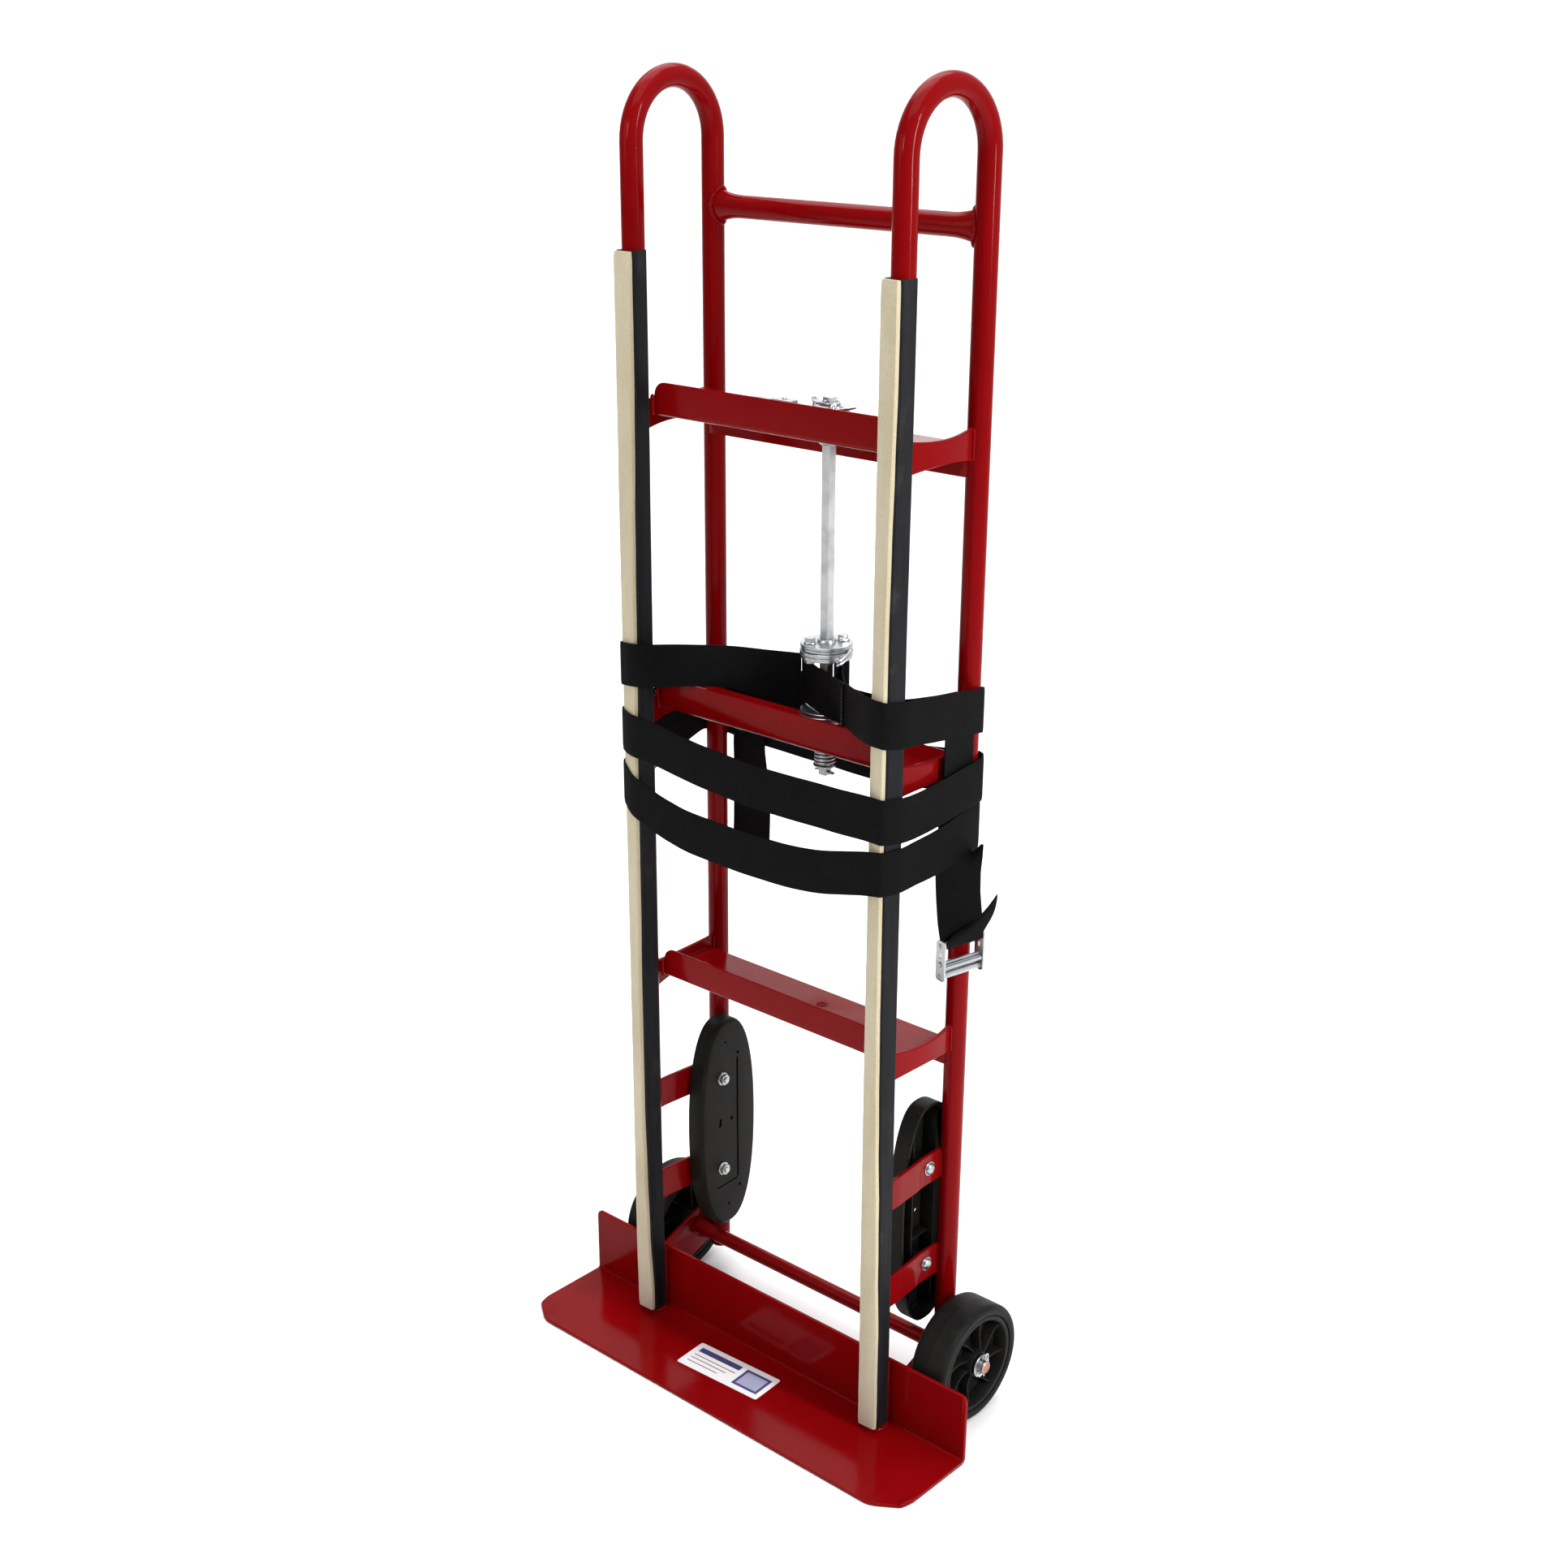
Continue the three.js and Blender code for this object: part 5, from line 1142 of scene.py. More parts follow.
def lower_flange():
    parts = [disc(838.0, 841.6, 28.6, WINCH_X + 0.4), disc(841.8, 846.0, 30.0), disc(846.2, 850.0, 29.2, WINCH_X, WINCH_Y + 0.5)]
    parts.append(bm_lathe([(8.2, 826.6), (12.4, 826.6), (13.0, 827.4), (13.0, 838.2), (8.2, 838.2)], "z", (WINCH_X, WINCH_Y, 0), 36))
    return finish_bm("spool_lower_flange", merge_bm(*parts), ZINC, "winch", ["spool_lower_flange"], angle=35)
lower_flange()

def spool_pin(name, x, y, low, turn):
    top = 926.8
    parts = [bm_cyl("z", 3.5, low - 4.5, top + 1, x, y, 20, 0.5)]
    parts.append(bm_lathe([(3.4, top + 0.1), (7.0, top + 0.1), (7.3, top + 0.4), (7.0, top + 1.5), (3.4, top + 1.5)], "z", (x, y, 0), 28))
    parts.append(bm_hex("z", 11.2, top + 1.4, top + 6.6, x, y, turn))
    parts.append(bm_hex("z", 11.2, low - 6.0, low - 0.4, x, y, turn + 0.4, flip=True))
    return finish_bm(name, merge_bm(*parts), ZINC, "winch", [name], angle=30)
spool_pin("spool_pin_front", PINS[0][0], PINS[0][1], 910.0, 0.35)
spool_pin("spool_pin_rear", PINS[1][0], PINS[1][1], 838.0, 0.1)

# ------------------------------------------------------------------ ratchet, pawls and handle
def ratchet_wheel():
    teeth, R1, R0, phase = 12, 26.0, 21.5, math.radians(34)
    outline = []
    for i in range(teeth):
        t0, t1 = phase + 2 * pi * i / teeth, phase + 2 * pi * (i + 0.88) / teeth
        outline.append((WINCH_X + R0 * math.cos(t0), WINCH_Y + R0 * math.sin(t0)))
        tm = (t0 + t1) / 2
        outline.append((WINCH_X + (R0 + R1) / 2 * 1.004 * math.cos(tm), WINCH_Y + (R0 + R1) / 2 * 1.004 * math.sin(tm)))
        outline.append((WINCH_X + R1 * math.cos(t1), WINCH_Y + R1 * math.sin(t1)))
    bm = bm_cut(bm_prism(outline, 1169.2, 1175.8, "z"), bm_prism([(WINCH_X - 5.8, WINCH_Y - 5.8), (WINCH_X + 5.8, WINCH_Y - 5.8), (WINCH_X + 5.8, WINCH_Y + 5.8), (WINCH_X - 5.8, WINCH_Y + 5.8)], 1150, 1190, "z"))
    return finish_bm("ratchet_wheel", bm, DULL_ZINC, "winch", ["ratchet_wheel"], angle=30, bevel=0.35, segs=1, bevel_angle=40)
ratchet_wheel()

px_, py_ = 68.0, 96.0
finish_bm("pawl_pin", merge_bm(bm_cyl("z", 3.2, 1163.2, 1177.4, px_, py_, 24, 0.6), bm_lathe([(3.0, 1163.2), (6.0, 1163.2), (6.0, 1168.0), (5.6, 1168.4), (3.0, 1168.4)], "z", (px_, py_, 0), 28),
          bm_lathe([(0, 1178.4), (2.8, 1178.2), (4.2, 1177.4), (4.4, 1176.8), (0, 1176.8)], "z", (px_, py_, 0), 24, closed=False)), ZINC, "frame", ["pawl_pin"], angle=35)

def holding_pawl():
    out = catmull([[44.2, 94.9], [52, 92.6], [60, 91.2], [70, 88.8], [77, 91], [86, 89.6], [93, 87.6], [96.6, 90.2], [95.6, 94], [88, 96.8], [79, 98.7], [73, 103.4], [66, 104.0], [60, 101.8], [52, 99.0], [44.8, 97.6]], 2.0)
    bm = bm_cut(bm_prism([tuple(p) for p in out], 1169.2, 1175.6, "z"), bm_cyl("z", 3.6, 1160, 1190, px_, py_, 24))
    return finish_bm("holding_pawl", bm, ZINC, "pawl", ["holding_pawl"], angle=30, bevel=0.5, segs=2, bevel_angle=50)
holding_pawl()

def handle():
    out = []
    for k in range(25):
        a = math.radians(156 - 312 * k / 24)
        out.append((WINCH_X + 22 * math.cos(a), WINCH_Y + 22 * math.sin(a)))
    a_low, a_high = out[-1], out[0]
    low = [[a_low[0], a_low[1]], [-14, WINCH_Y - 8.6], [-40, WINCH_Y - 8.2], [-66, WINCH_Y - 8.6]]
    tip = [[-80 + 9 * math.cos(math.radians(t)), WINCH_Y + 9 * math.sin(math.radians(t))] for t in range(-90, -271, -15)]
    high = [[-66, WINCH_Y + 8.6], [-40, WINCH_Y + 8.2], [-14, WINCH_Y + 8.6]]
    outline = out + [tuple(p) for p in low[1:]] + [tuple(p) for p in tip] + [tuple(p) for p in high]
    hole = lambda: bm_cyl("z", 8.3, 1170, 1205, WINCH_X, WINCH_Y, 32)
    arm = bm_cut(bm_prism(outline, 1178.6, 1182.8, "z"), hole(), bm_cyl("z", 3.2, 1170, 1190, -80, WINCH_Y, 20))
    parts = [bm_bevelled(arm, 0.6, 2, 50)]
    # raised grip plate on the arm
    grip = bm_prism(round_poly([(-54, WINCH_Y - 6.8), (-24, WINCH_Y - 6.8), (-24, WINCH_Y + 6.8), (-54, WINCH_Y + 6.8)], 2.5, 4), 1182.6, 1185.4, "z")
    parts.append(bm_bevelled(grip, 0.5, 2, 50))
    # boss round the shaft end: two stacked plates with lobes
    lobes = []
    for k in range(60):
        a = 2 * pi * k / 60
        r = 15.2 + 1.9 * math.cos(3 * a + 0.6)
        lobes.append((WINCH_X + r * math.cos(a), WINCH_Y + r * math.sin(a)))
    plate = bm_cut(bm_prism(lobes, 1182.6, 1187.0, "z"), hole())
    parts.append(bm_bevelled(plate, 0.5, 2, 50))
    lob2 = [(WINCH_X + (12.6 + 1.4 * math.cos(2 * a + 1.0)) * math.cos(a), WINCH_Y + (12.6 + 1.4 * math.cos(2 * a + 1.0)) * math.sin(a)) for a in [2 * pi * k / 48 for k in range(48)]]
    plate = bm_cut(bm_prism(lob2, 1186.8, 1190.6, "z"), hole())
    parts.append(bm_bevelled(plate, 0.5, 2, 50))
    # domed rivets
    for x, y, r, z in ((36.8, 71.0, 3.6, 1187.0), (5.4, WINCH_Y + 2.0, 4.4, 1186.0), (-38.0, WINCH_Y, 3.0, 1185.4)):
        parts.append(bm_lathe([(0, z + r * 0.85), (r * 0.45, z + r * 0.76), (r * 0.8, z + r * 0.46), (r, z), (r, z - 3.2), (0, z - 3.2)], "z", (x, y, 0), 24, closed=False))
    # drive pawl tab at the left of the boss, turned up
    tab = bm_loft([[V((a, b, c)) for a, b, c in ((x, WINCH_Y - 5.2 + e, z), (x, WINCH_Y + 5.2 - e, z), (x, WINCH_Y + 5.2 - e, z + 1.8), (x, WINCH_Y - 5.2 + e, z + 1.8))] for x, z, e in ((14, 1186.8, 0), (8, 1187.4, 0), (4.4, 1189.2, 0.4), (2.6, 1191.4, 1.4))])
    parts.append(bm_bevelled(tab, 0.4, 1, 50))
    # pointed thumb lug at the right, slightly raised
    lug = []
    for x, y0, y1, z, t in ((33, 66, 95, 1180.6, 4.0), (42, 70.5, 92.5, 1182.0, 3.6), (50, 73.5, 87.6, 1184.0, 3.2), (57, 76.0, 84.2, 1185.6, 2.8), (62.2, 78.2, 81.0, 1186.8, 2.0)):
        lug.append([V((x, y0, z)), V((x, y1, z)), V((x, y1, z + t)), V((x, y0, z + t))])
    parts.append(bm_bevelled(bm_loft(lug), 0.5, 2, 40))
    return finish_bm("ratchet_handle", merge_bm(*parts), ZINC, "handle", ["ratchet_handle"], angle=32)
handle()

# ------------------------------------------------------------------ belt
WEB_T = 1.9
def bm_strip(frames, t=WEB_T, cols=10, cup=0.0, v0=0.0, fray=(0.0, 0.0)):
    """woven strip: frames are (centre, width direction, face normal, width); uv in millimetres"""
    bm = bmesh.new()
    uvs = {}
    rings, s = [], v0
    prev = None
    for k, (c, w, n, width) in enumerate(frames):
        c, w, n = V(c), V(w).normalized(), V(n).normalized()
        if prev is not None:
            s += (c - prev).length
        prev = c
        ring = []
        for face in (1, -1):
            order = range(cols + 1) if face > 0 else range(cols, -1, -1)
            for j in order:
                u = (j / cols - 0.5) * 2
                edge = 0.62 if j in (0, cols) else 1.0
                p = c + w * (u * width / 2) + n * (face * t / 2 * edge + cup * (u * u - 0.33))
                v = bm.verts.new(p)
                ring.append(v)
                uvs[v] = (j / cols * 50.8, s)
        rings.append(ring)
    m = len(rings[0])
    for a, b in zip(rings, rings[1:]):
        for i in range(m):
            j = (i + 1) % m
            bm.faces.new((a[i], a[j], b[j], b[i]))
    half = cols + 1
    for r in (rings[0], rings[-1]):
        for i in range(cols):
            bm.faces.new((r[i], r[i + 1], r[m - 2 - i], r[m - 1 - i]))
    layer = bm.loops.layers.uv.new("UVMap")
    for f in bm.faces:
        for lp in f.loops:
            lp[layer].uv = uvs[lp.vert]
    return bm, s

def band_frames(ctrl, per=4.0, wave=0.25, seed=0.0):
    """upright band: rows are x, y, lower edge z, optional upper edge z"""
    rows = [[r[0], r[1], r[2], (r[3] if len(r) > 3 else r[2] + 50.8)] for r in ctrl]
    d = catmull(rows, per)
    out, s = [], 0.0
    for k, (x, y, zb, zt) in enumerate(d):
        a, b = d[max(k - 1, 0)], d[min(k + 1, len(d) - 1)]
        t = V((b[0] - a[0], b[1] - a[1], 0)).normalized()
        n = V((t.y, -t.x, 0))
        if k:
            s += math.hypot(x - d[k - 1][0], y - d[k - 1][1])
        q = wave * (math.sin(s * 0.045 + seed) * 0.6 + math.sin(s * 0.013 + 2 * seed) * 0.4)
        # the slope of the run is worked out but not used: the width stays upright
        slope = (b[2] - a[2] + b[3] - a[3]) / 2 / max(1e-6, math.hypot(b[0] - a[0], b[1] - a[1]))
        out.append((V((x, y, (zb + zt) / 2 + 0.15 * math.sin(s * 0.09 + seed))) + n * q, V((0, 0, 1)), n, zt - zb))
    return out

def belt_piece(name, bms, body, mats=None):
    bm = merge_bm(*bms)
    return finish_bm(name, bm, mats or [WEB, THREAD], body, [name], angle=60)

def stitches(pts, n, r=0.42, length=3.0, gap=1.6):
    """a row of raised stitches along a line; n is the direction they stand off"""
    line = resample(pts, 0.5)
    out, d, k = [], 0.0, 0
    pos = 0.0
    total = sum((b - a).length for a, b in zip(line, line[1:]))
    m = int(total / (length + gap))
    def at(dist):
        acc = 0.0
        for a, b in zip(line, line[1:]):
            L = (b - a).length
            if acc + L >= dist:
                return a.lerp(b, (dist - acc) / L)
            acc += L
        return line[-1].copy()
    n = V(n).normalized()
    for i in range(m):
        a, b = at(i * (length + gap) + gap / 2), at(i * (length + gap) + gap / 2 + length)
        if (b - a).length < 0.5:
            continue
        mid = (a + b) / 2
        out.append(bm_sweep([a - n * 0.25, a.lerp(mid, 0.4) + n * 0.28, mid + n * 0.36, b.lerp(mid, 0.4) + n * 0.28, b - n * 0.25], circle2(r, 6)))
    bm = merge_bm(*out)
    for f in bm.faces:
        f.material_index = 1
    return bm

def arc_pts(cx, cy, r, a0, a1, z0, z1, n=6):
    return [[cx + r * math.cos(math.radians(a0 + (a1 - a0) * i / n)), cy + r * math.sin(math.radians(a0 + (a1 - a0) * i / n)), z0 + (z1 - z0) * i / n] for i in range(n + 1)]

def rear_corner(side, layer, a0, a1, z0, z1):
    return arc_pts(side * REAR_X, REAR_Y, (14.1, 16.3, 18.5)[layer], a0, a1, z0, z1, 6)

def pad_corner(side, zm, direction, z0, z1, off=1.5):
    """round the front corner of the twisted pad: points from the front face to the side (direction 1) or back (-1)"""
    p = math.radians(interp(TWIST_R if side > 0 else TWIST_L, zm + 25))
    c, s = math.cos(p), math.sin(p)
    if side > 0:
        loc = [(10.2, -19.3 - off), (12.4, -19.0 - off * 0.8), (13.2 + off * 0.5, -17.2 - off * 0.5), (14.2 + off * 0.55, -12.6), (13.8 + off, 6.4)]
    else:
        loc = [(8.0, -19.5 - off), (-10.2, -19.4 - off), (-12.6, -18.9 - off * 0.75), (-13.4 - off * 0.6, -16.8 - off * 0.4), (-13.8 - off * 0.7, -11.5)]
    pts = [(side * FRONT_X + x * c + y * s, -x * s + y * c) for x, y in loc]
    n = len(pts)
    d = [0.0]
    for a, b in zip(pts, pts[1:]):
        d.append(d[-1] + math.hypot(b[0] - a[0], b[1] - a[1]))
    rows = [[x, y, z0 + (z1 - z0) * q / d[-1]] for q, (x, y) in zip(d, pts)]
    return rows if direction > 0 else rows[::-1]

# carried by the spool: the length in front of the shaft and the sewn loop round the rear pin
f1 = band_frames([[-11.3, 82.45, 841.4, 904.6], [-7.6, 80.5, 845.6, 904.4], [-3.4, 78.3, 850.2, 904.0], [2.0, 75.5, 850.8, 903.2], [12, 70.2, 850.6, 902.2], [28, 63.2, 850.6, 901.2], [42, 57.6, 850.6, 901.2], [53.9, 52.7, 850.6, 901.2]], 3.5, 0.0)
strip1, _ = bm_strip(f1, cols=10)
loop_rows = [[55.2, 71.6, 852.4, 904.4], [46.0, 81.6, 852.2, 904.6]]
loop_rows += [[35.2 + (5.8 + 3.5 * i / 7) * math.cos(math.radians(a)), 97 + (5.8 + 3.5 * i / 7) * math.sin(math.radians(a)), 852.0, 904.8] for i, a in enumerate((-40, 0, 35, 70, 105, 140, 178, 212))]
loop_rows += [[33.6, 86.4, 852.2, 904.6], [42.0, 79.0, 852.3, 904.5], [50.4, 71.8, 852.4, 904.4]]
f2 = band_frames(loop_rows, 2.4, 0.0)
strip2, _ = bm_strip(f2, cols=10, t=1.7)
belt_piece("belt_on_spool", [strip1, strip2], "winch")

# left run
ctrl = [[-13.5, 82.7, 839.9, 904.9], [-30, 72.0, 844.6, 906.2], [-50, 58.6, 850.6, 907.9], [-66, 48.2, 855.6, 909.2], [-82, 37.5, 860.2, 910.0], [-101, 25.0, 861.4, 910.2], [-118, 13.0, 860.6, 909.8], [-145, -5.5, 858.2, 908.6], [-164, -18.2, 856.8, 907.6]]
ctrl += pad_corner(-1, 855, 1, 855.8, 852.0)
ctrl += [[-200.9, 6, 848], [-200.6, 28, 839], [-200.6, 60, 828], [-201.0, 96, 815], [-201.1, 118, 808.5]]
ctrl += rear_corner(-1, 0, 180, 90, 806, 801)[1:]
ctrl += [[-173.2, REAR_Y + 14.1, 800]]
strip, _ = bm_strip(band_frames(ctrl, 4.0, 0.2, 1.0))
belt_piece("belt_left_run", [strip], "frame")

# main run: the first lead to the right pad and the three turns round both rails
ctrl = [[54.3, 52.5, 850.6, 901.2], [66, 44.6, 852.6, 902.4], [78, 36.5, 856.0, 904.6], [97, 23.4, 860.6, 908.0], [118, 10.5, 861.4, 910.8], [140, -3.0, 862.4, 912.8], [160, -15.2, 864.2, 915.0], [176, -21.6, 865.0, 916.0]]
ctrl += pad_corner(1, 865, 1, 865.6, 862.6)
ctrl += [[201.6, 26, 860.6], [203.2, 60, 857], [203.6, 96, 852.8], [203.6, 118, 850.2]]
ctrl += rear_corner(1, 1, 0, 90, 849, 843)[1:]
ctrl += [[170, 144.3, 836], [157, 144.3, 831], [120, 144.4, 817], [80, 144.5, 805.5], [40, 144.6, 803.0], [0, 144.6, 804.0], [-80, 144.5, 809], [-160, 144.3, 808.4]]
ctrl += rear_corner(-1, 1, 90, 180, 808, 804)[1:]
ctrl += [[-203.4, 118, 802], [-203.2, 96, 797], [-202.9, 60, 789], [-202.2, 28, 782], [-202.4, 6, 777.5]]
ctrl += pad_corner(-1, 772, -1, 770.6, 775.4)
ctrl += [[-150, -22.0, 768.8], [-110, -21.2, 762.8], [-64, -19.6, 757], [0, -17.4, 752], [60, -16.0, 752], [120, -19.4, 755], [168, -22.2, 758]]
ctrl += pad_corner(1, 758, 1, 758.4, 757.2)
ctrl += [[201.8, 26, 756.8], [204.2, 60, 760.8], [205.5, 96, 765.6], [205.6, 118, 768.0]]
ctrl += rear_corner(1, 2, 0, 90, 769.2, 769.6)[1:]
ctrl += [[170, 146.5, 767], [137, 146.5, 761.5], [90, 146.4, 754.5], [45, 146.2, 751.2], [-35, 146.2, 752], [-118, 146.4, 753], [-168, 146.5, 754.8]]
ctrl += rear_corner(-1, 2, 90, 180, 756, 761.5)[1:]
ctrl += [[-205.6, 118, 761], [-205.6, 89, 752], [-205.2, 60, 743], [-204.2, 28, 729.5], [-203.0, 6, 720.5]]
ctrl += pad_corner(-1, 707, -1, 697.0, 714.0)
ctrl += [[-158, -22.6, 689.0], [-140, -22.8, 683.4], [-120, -22.6, 678.6], [-90, -22.2, 674], [-27, -20.8, 671], [40, -20.8, 672], [94, -21.4, 677], [140, -22.0, 687.6], [168, -22.6, 694.6]]
ctrl += pad_corner(1, 699, 1, 698.6, 700.2)
ctrl += [[201.6, 26, 701.6, 752.8], [203.0, 60, 703.6, 756.4], [203.5, 96, 708.0, 763.0], [203.6, 118, 710.8, 767.0]]
ctrl += [r + [768.0 + 0.4 * i] for i, r in enumerate(rear_corner(1, 1, 0, 90, 712.5, 715)[1:])]
ctrl += [[165, 144.3, 715, 769], [140, 144.2, 714, 767]]
strip, _ = bm_strip(band_frames(ctrl, 4.0, 0.22, 2.3))
# sewn end of the loop, lying behind the right lead
lf = band_frames([[57.6, 69.0, 852.6, 904.4], [72, 53.6, 856.0, 905.4], [86, 38.6, 859.2, 906.6], [99.5, 24.6, 861.4, 907.6]], 3.0, 0.0)
tabs, _ = bm_strip(lf, t=1.7)
lf2 = band_frames([[99.6, 19.4, 861.0, 908.0], [102.4, 17.4, 861.2, 908.4], [103.4, 16.8, 861.3, 908.5]], 1.0, 0.0)
lip, _ = bm_strip(lf2, t=2.6)
st = stitches([V((101.0, 16.9, 862.6)), V((101.0, 16.9, 906.8))], (-0.5, -0.85, 0), 0.5)
belt_piece("belt_wraps", [strip, tabs, lip, st], "frame")

# loose end: folded down from the left run, hanging inside the wraps at the rear
def dirv(deg): return V((math.cos(math.radians(deg)), math.sin(math.radians(deg)), 0))
fr = []
for k in range(64):
    t = k / 63
    z = 851.5 - 248.5 * t
    a = 0 if z > 752 else 12.5 * min(1, (752 - z) / 70) ** 1.3
    y = 142.1 if z > 752 else 142.1 + 3.2 * min(1, (752 - z) / 60) ** 1.2 + 1.2 * math.sin((752 - z) / 48)
    x = -147 + (0.6 * math.sin(z * 0.03) if z < 752 else 0)
    n = V((-math.sin(math.radians(a)), math.cos(math.radians(a)), 0))
    fr.append((V((x, y, z)), dirv(a), n, 50.6))
strip, _ = bm_strip(fr, cols=10, cup=0.0)
belt_piece("belt_loose_end", [strip], "frame")

# tail: under the wraps on the right side, then turning out and hanging to the buckle, folded up over its bar
fr = []
for k in range(26):
    z = 899 - 184 * k / 25
    fr.append((V((201.1, 95, z)), dirv(90), V((1, 0, 0)), 50.6))
keys = [(712, 201.2, 95.1, 87.5), (708.5, 201.8, 95.5, 78), (704.5, 203.2, 96.0, 63), (699, 204.5, 96.4, 52), (690, 205.1, 96.6, 48), (670, 205.4, 97.6, 51), (652, 205.6, 100.0, 48), (638, 205.4, 102.2, 48), (626, 204.2, 104.2, 61), (616.5, 201.6, 105.2, 76)]
for z, x, y, a in catmull([list(k) for k in keys], 3.0):
    n = V((math.sin(math.radians(a)), -math.cos(math.radians(a)), 0))
    fr.append((V((x, y, z)), dirv(a), n, 50.6))
# round the strap bar (local frame of the buckle), then up the outside
ax = dirv(77.4)
nx = V((0.976, -0.218, 0))
bar = V((206, 105, 611.5))
for deg in (200, 230, 262, 294, 326, 352):
    d = nx * math.cos(math.radians(deg)) + V((0, 0, 1)) * math.sin(math.radians(deg))
    fr.append((bar + d * 5.0, ax, d, 50.4))
flap = catmull([[212.2, 104.4, 615, 76, 3, 0.0], [213.4, 106.0, 620, 72, 8, 0.10], [215.4, 110.0, 626, 64, 15, 0.2], [217.6, 114.0, 630.6, 57, 21, 0.30], [219.6, 118.4, 635.0, 50, 28, 0.38]], 2.2)
for x, y, z, a, tilt, ntilt in flap:
    w = dirv(a) * math.cos(math.radians(tilt)) + V((0, 0, 1)) * math.sin(math.radians(tilt))
    n = (V((math.sin(math.radians(a)), -math.cos(math.radians(a)), 0)) - V((0, 0, 1)) * ntilt)
    n = (n - w * n.dot(w)).normalized()
    fr.append((V((x, y, z)), w, n, 50.4))
strip, _ = bm_strip(fr, cols=10)
strip.verts.ensure_lookup_table()
per, first_flap = 22, len(fr) - len(flap)
for i, v in enumerate(strip.verts):
    k, j = i // per, i % per
    far = (j if j <= 10 else 21 - j) / 10.0
    if k >= first_flap:
        # the free corner of the flap curls upwards
        q = (k - first_flap) / (len(flap) - 1.0)
        v.co.z += 20.0 * q ** 1.8 * far ** 2.4
        v.co.y += (4.0 * math.sin(pi * q) - 4.0 * q ** 2) * far ** 3
    elif 690 < v.co.z < 712:
        # folded edge standing out where the tail leaves the bands
        e = math.exp(-((v.co.z - 702.5) / 5.0) ** 2)
        v.co.z += 25.0 * e * far ** 8
        v.co.x += 4.6 * e * far ** 4
belt_piece("belt_tail", [strip], "frame")

# ------------------------------------------------------------------ buckle
def placed(bm, turn=0.0):
    rot = Matrix.Rotation(math.radians(77.4), 4, "Z")
    for v in bm.verts:
        v.co = rot @ v.co + V((206, 105, 593))
    return bm

def buckle():
    parts = []
    for x0 in (-29.2, 27.0):
        out = round_poly([(-7.5, -24.5), (7.5, -24.5), (7.5, 24.5), (-7.5, 24.5)], [4.5, 4.5, 4.5, 4.5], 6)
        plate = bm_prism(out, x0, x0 + 2.2, "x")
        plate = bm_cut(plate, bm_cyl("x", 3.3, x0 - 5, x0 + 7, 0, -4, 24), bm_prism(round_poly([(-1.3, 3.2), (1.3, 3.2), (1.3, 9.8), (-1.3, 9.8)], 1.2, 4), x0 - 5, x0 + 7, "x"))
        parts.append(bm_bevelled(plate, 0.35, 1, 50))
        # rivet heads on the outer faces
        for z in (18.5, -19.5):
            s = -1 if x0 < 0 else 1
            xf = x0 if s < 0 else x0 + 2.2
            parts.append(bm_lathe([(0, xf + s * 1.5), (1.6, xf + s * 1.4), (2.6, xf + s * 0.8), (3.0, xf - s * 0.1), (0, xf - s * 0.1)], "x", (0, 0, z), 20, closed=False))
    parts.append(bm_cyl("x", 3.4, -28, 28, 0, 18.5, 28))
    # fluted lower bar
    fl = []
    for i in range(48):
        a = 2 * pi * i / 48
        r = 4.0 + 0.22 * math.cos(8 * a)
        fl.append((r * math.cos(a), -18.7 + r * math.sin(a)))
    parts.append(bm_prism(fl, -28, 28, "x"))
    return finish_bm("buckle_frame", placed(merge_bm(*parts)), ZINC, "buckle", ["buckle_frame"], angle=32)
buckle()

def cam_bar():
    fl = []
    n = 9
    for i in range(n * 6):
        a = 2 * pi * i / (n * 6)
        c = 0.5 + 0.5 * math.cos(n * a)
        fl.append(((6.6 + 0.6 * c ** 0.6) * math.cos(a), -8.0 + (4.0 + 0.4 * c ** 0.6) * math.sin(a)))
    parts = [bm_bevelled(bm_prism(fl, -26.4, 26.4, "x"), 0.3, 1, 60), bm_lathe([(0, -30.6), (2.2, -30.6), (2.9, -30.0), (2.9, -26.5), (2.2, -26.2), (2.2, 26.2), (2.9, 26.5), (2.9, 30.0), (2.2, 30.6), (0, 30.6)], "x", (0, 0, -4), 24, closed=False)]
    return finish_bm("buckle_cam", placed(merge_bm(*parts)), ZINC, "buckle_cam", ["buckle_cam"], angle=32)
cam_bar()

# ------------------------------------------------------------------ label: thin film with rounded corners
def label():
    w, h, r = 63.5, 25.0, 3.0
    out = round_poly([(-w, -h), (w, -h), (w, h), (-w, h)], r, 6)
    rot = math.radians(3.2)
    c, s = math.cos(rot), math.sin(rot)
    bm = bmesh.new()
    def at(p, z, k=1.0):
        x, y = p[0] * k, p[1] * k
        return (-17 + x * c - y * s, -40.5 + x * s + y * c, z)
    b = [bm.verts.new(at(p, PLATE_T + 0.05)) for p in out]
    t = [bm.verts.new(at(p, PLATE_T + 0.38)) for p in out]
    t2 = [bm.verts.new(at(p, PLATE_T + 0.42, 0.994)) for p in out]
    n = len(out)
    layer = bm.loops.layers.uv.new("UVMap")
    uv = {}
    for vs in (b, t, t2):
        for v, p in zip(vs, out):
            uv[v] = ((p[0] + w) / (2 * w), (p[1] + h) / (2 * h))
    for lo, hi in ((b, t), (t, t2)):
        for i in range(n):
            bm.faces.new((lo[i], lo[(i + 1) % n], hi[(i + 1) % n], hi[i]))
    bm.faces.new(t2)
    bm.faces.new(b[::-1])
    for f in bm.faces:
        for lp in f.loops:
            lp[layer].uv = uv[lp.vert]
    return finish_bm("toe_plate_label", bm, LABEL, "frame", ["toe_plate_label"], angle=40)
label()


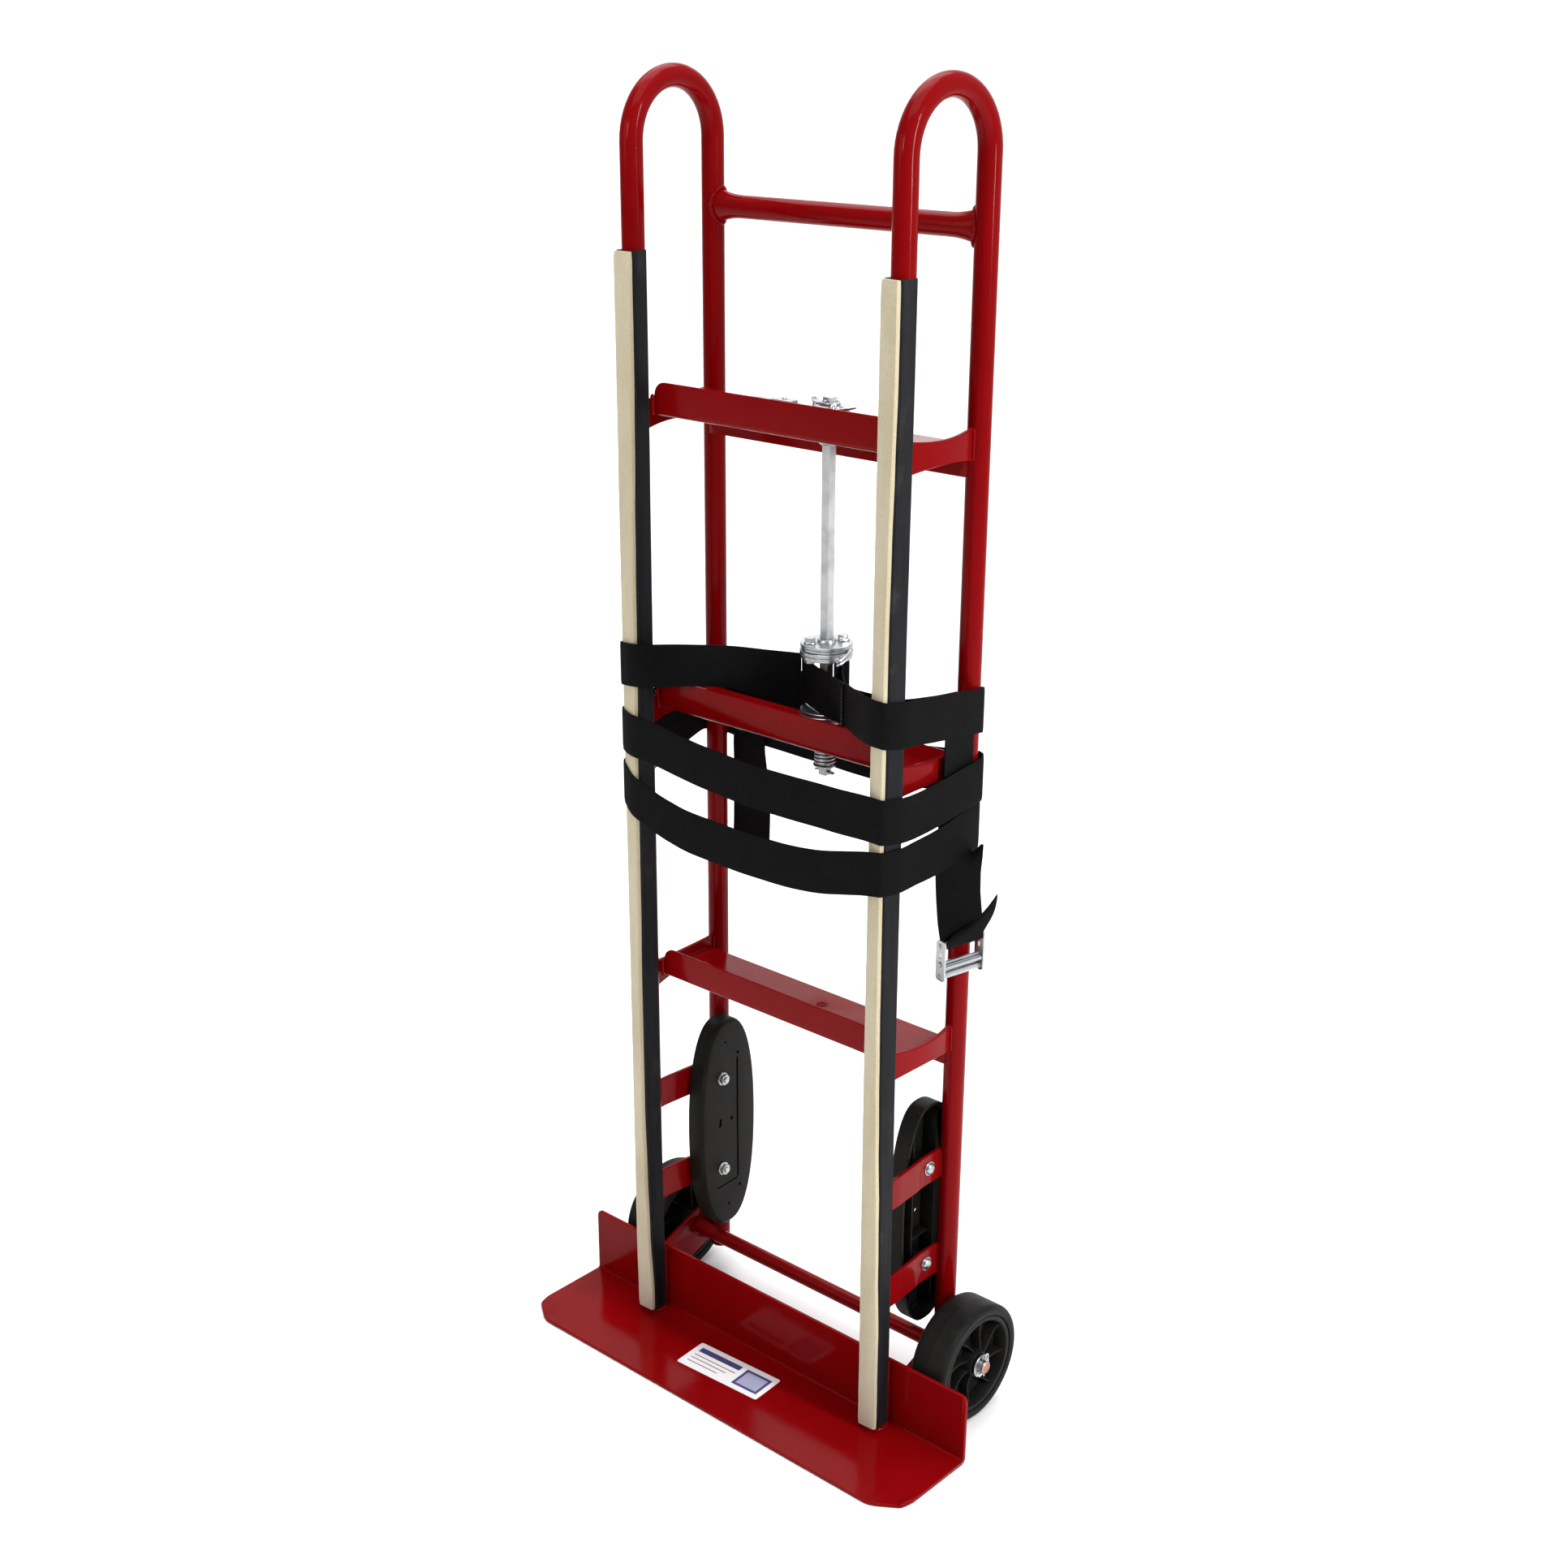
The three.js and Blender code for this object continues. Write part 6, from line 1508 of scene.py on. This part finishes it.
# ------------------------------------------------------------------ floor and light
floor_mesh = bpy.data.meshes.new("studio_floor")
S, W, H, R0 = 7.0, 7.0, 6.0, 1.2
prof = [(-S, 0.0)] + [(3.2 + R0 * math.sin(a), R0 - R0 * math.cos(a)) for a in [pi / 2 * k / 16 for k in range(17)]] + [(3.2 + R0, H)]
fv, ff = [], []
for (y, z) in prof:
    fv += [(-W, y, z), (W, y, z)]
for i in range(len(prof) - 1):
    ff.append((2 * i, 2 * i + 1, 2 * i + 3, 2 * i + 2))
floor_mesh.from_pydata(fv, [], ff)
floor_mesh.polygons.foreach_set("use_smooth", [True] * len(floor_mesh.polygons))
floor_mesh.materials.append(mat_plain_floor())
floor = bpy.data.objects.new("studio_floor", floor_mesh)
# the sweep faces the camera
floor.matrix_world = Matrix.Rotation(math.radians(42.98), 4, "Z")
scene.collection.objects.link(floor)

world = bpy.data.worlds.new("studio")
scene.world = world
world.use_nodes = True
world.node_tree.nodes["Background"].inputs[0].default_value = (1.0, 1.0, 1.0, 1)
world.node_tree.nodes["Background"].inputs[1].default_value = 1.0
# softer towards the load side, brighter behind and to the right
wt = world.node_tree
tc = wt.nodes.new("ShaderNodeTexCoord")
dotn = wt.nodes.new("ShaderNodeVectorMath")
dotn.operation = "DOT_PRODUCT"
dotn.inputs[1].default_value = (0.68, 0.62, 0.39)
wt.links.new(tc.outputs["Generated"], dotn.inputs[0])
half = math_node(wt, "ADD", math_node(wt, "MULTIPLY", dotn.outputs["Value"], 0.5), 0.5)
wt.links.new(ramp(wt, half, [(0.10, (0.25, 0.25, 0.255)), (0.42, (0.37, 0.37, 0.375)), (0.72, (0.66, 0.66, 0.66)), (1.0, (0.86, 0.86, 0.86))]), wt.nodes["Background"].inputs[0])

def area(name, loc, target, size, power, colour=(1, 1, 1)):
    d = bpy.data.lights.new(name, "AREA")
    d.shape = "RECTANGLE"
    d.size, d.size_y = size
    d.energy = power
    d.color = colour
    o = bpy.data.objects.new(name, d)
    o.location = loc
    o.rotation_euler = (V(target) - V(loc)).to_track_quat("-Z", "Y").to_euler()
    scene.collection.objects.link(o)
    return o

area("key_softbox", (3.0, 0.1, 1.9), (0, 0, 0.75), (0.20, 1.8), 80)
area("fill_softbox", (-1.2, -2.8, 2.0), (0, 0, 0.7), (1.6, 1.6), 12)
area("front_strip", (0.1, -3.3, 2.3), (0, 0, 0.95), (0.12, 1.0), 24)
area("top_softbox", (0.2, -0.4, 3.3), (0, 0, 0.5), (2.0, 2.0), 34)
area("back_softbox", (-1.4, 1.6, 4.6), (-1.6, 2.4, 0.0), (3.5, 3.5), 150)
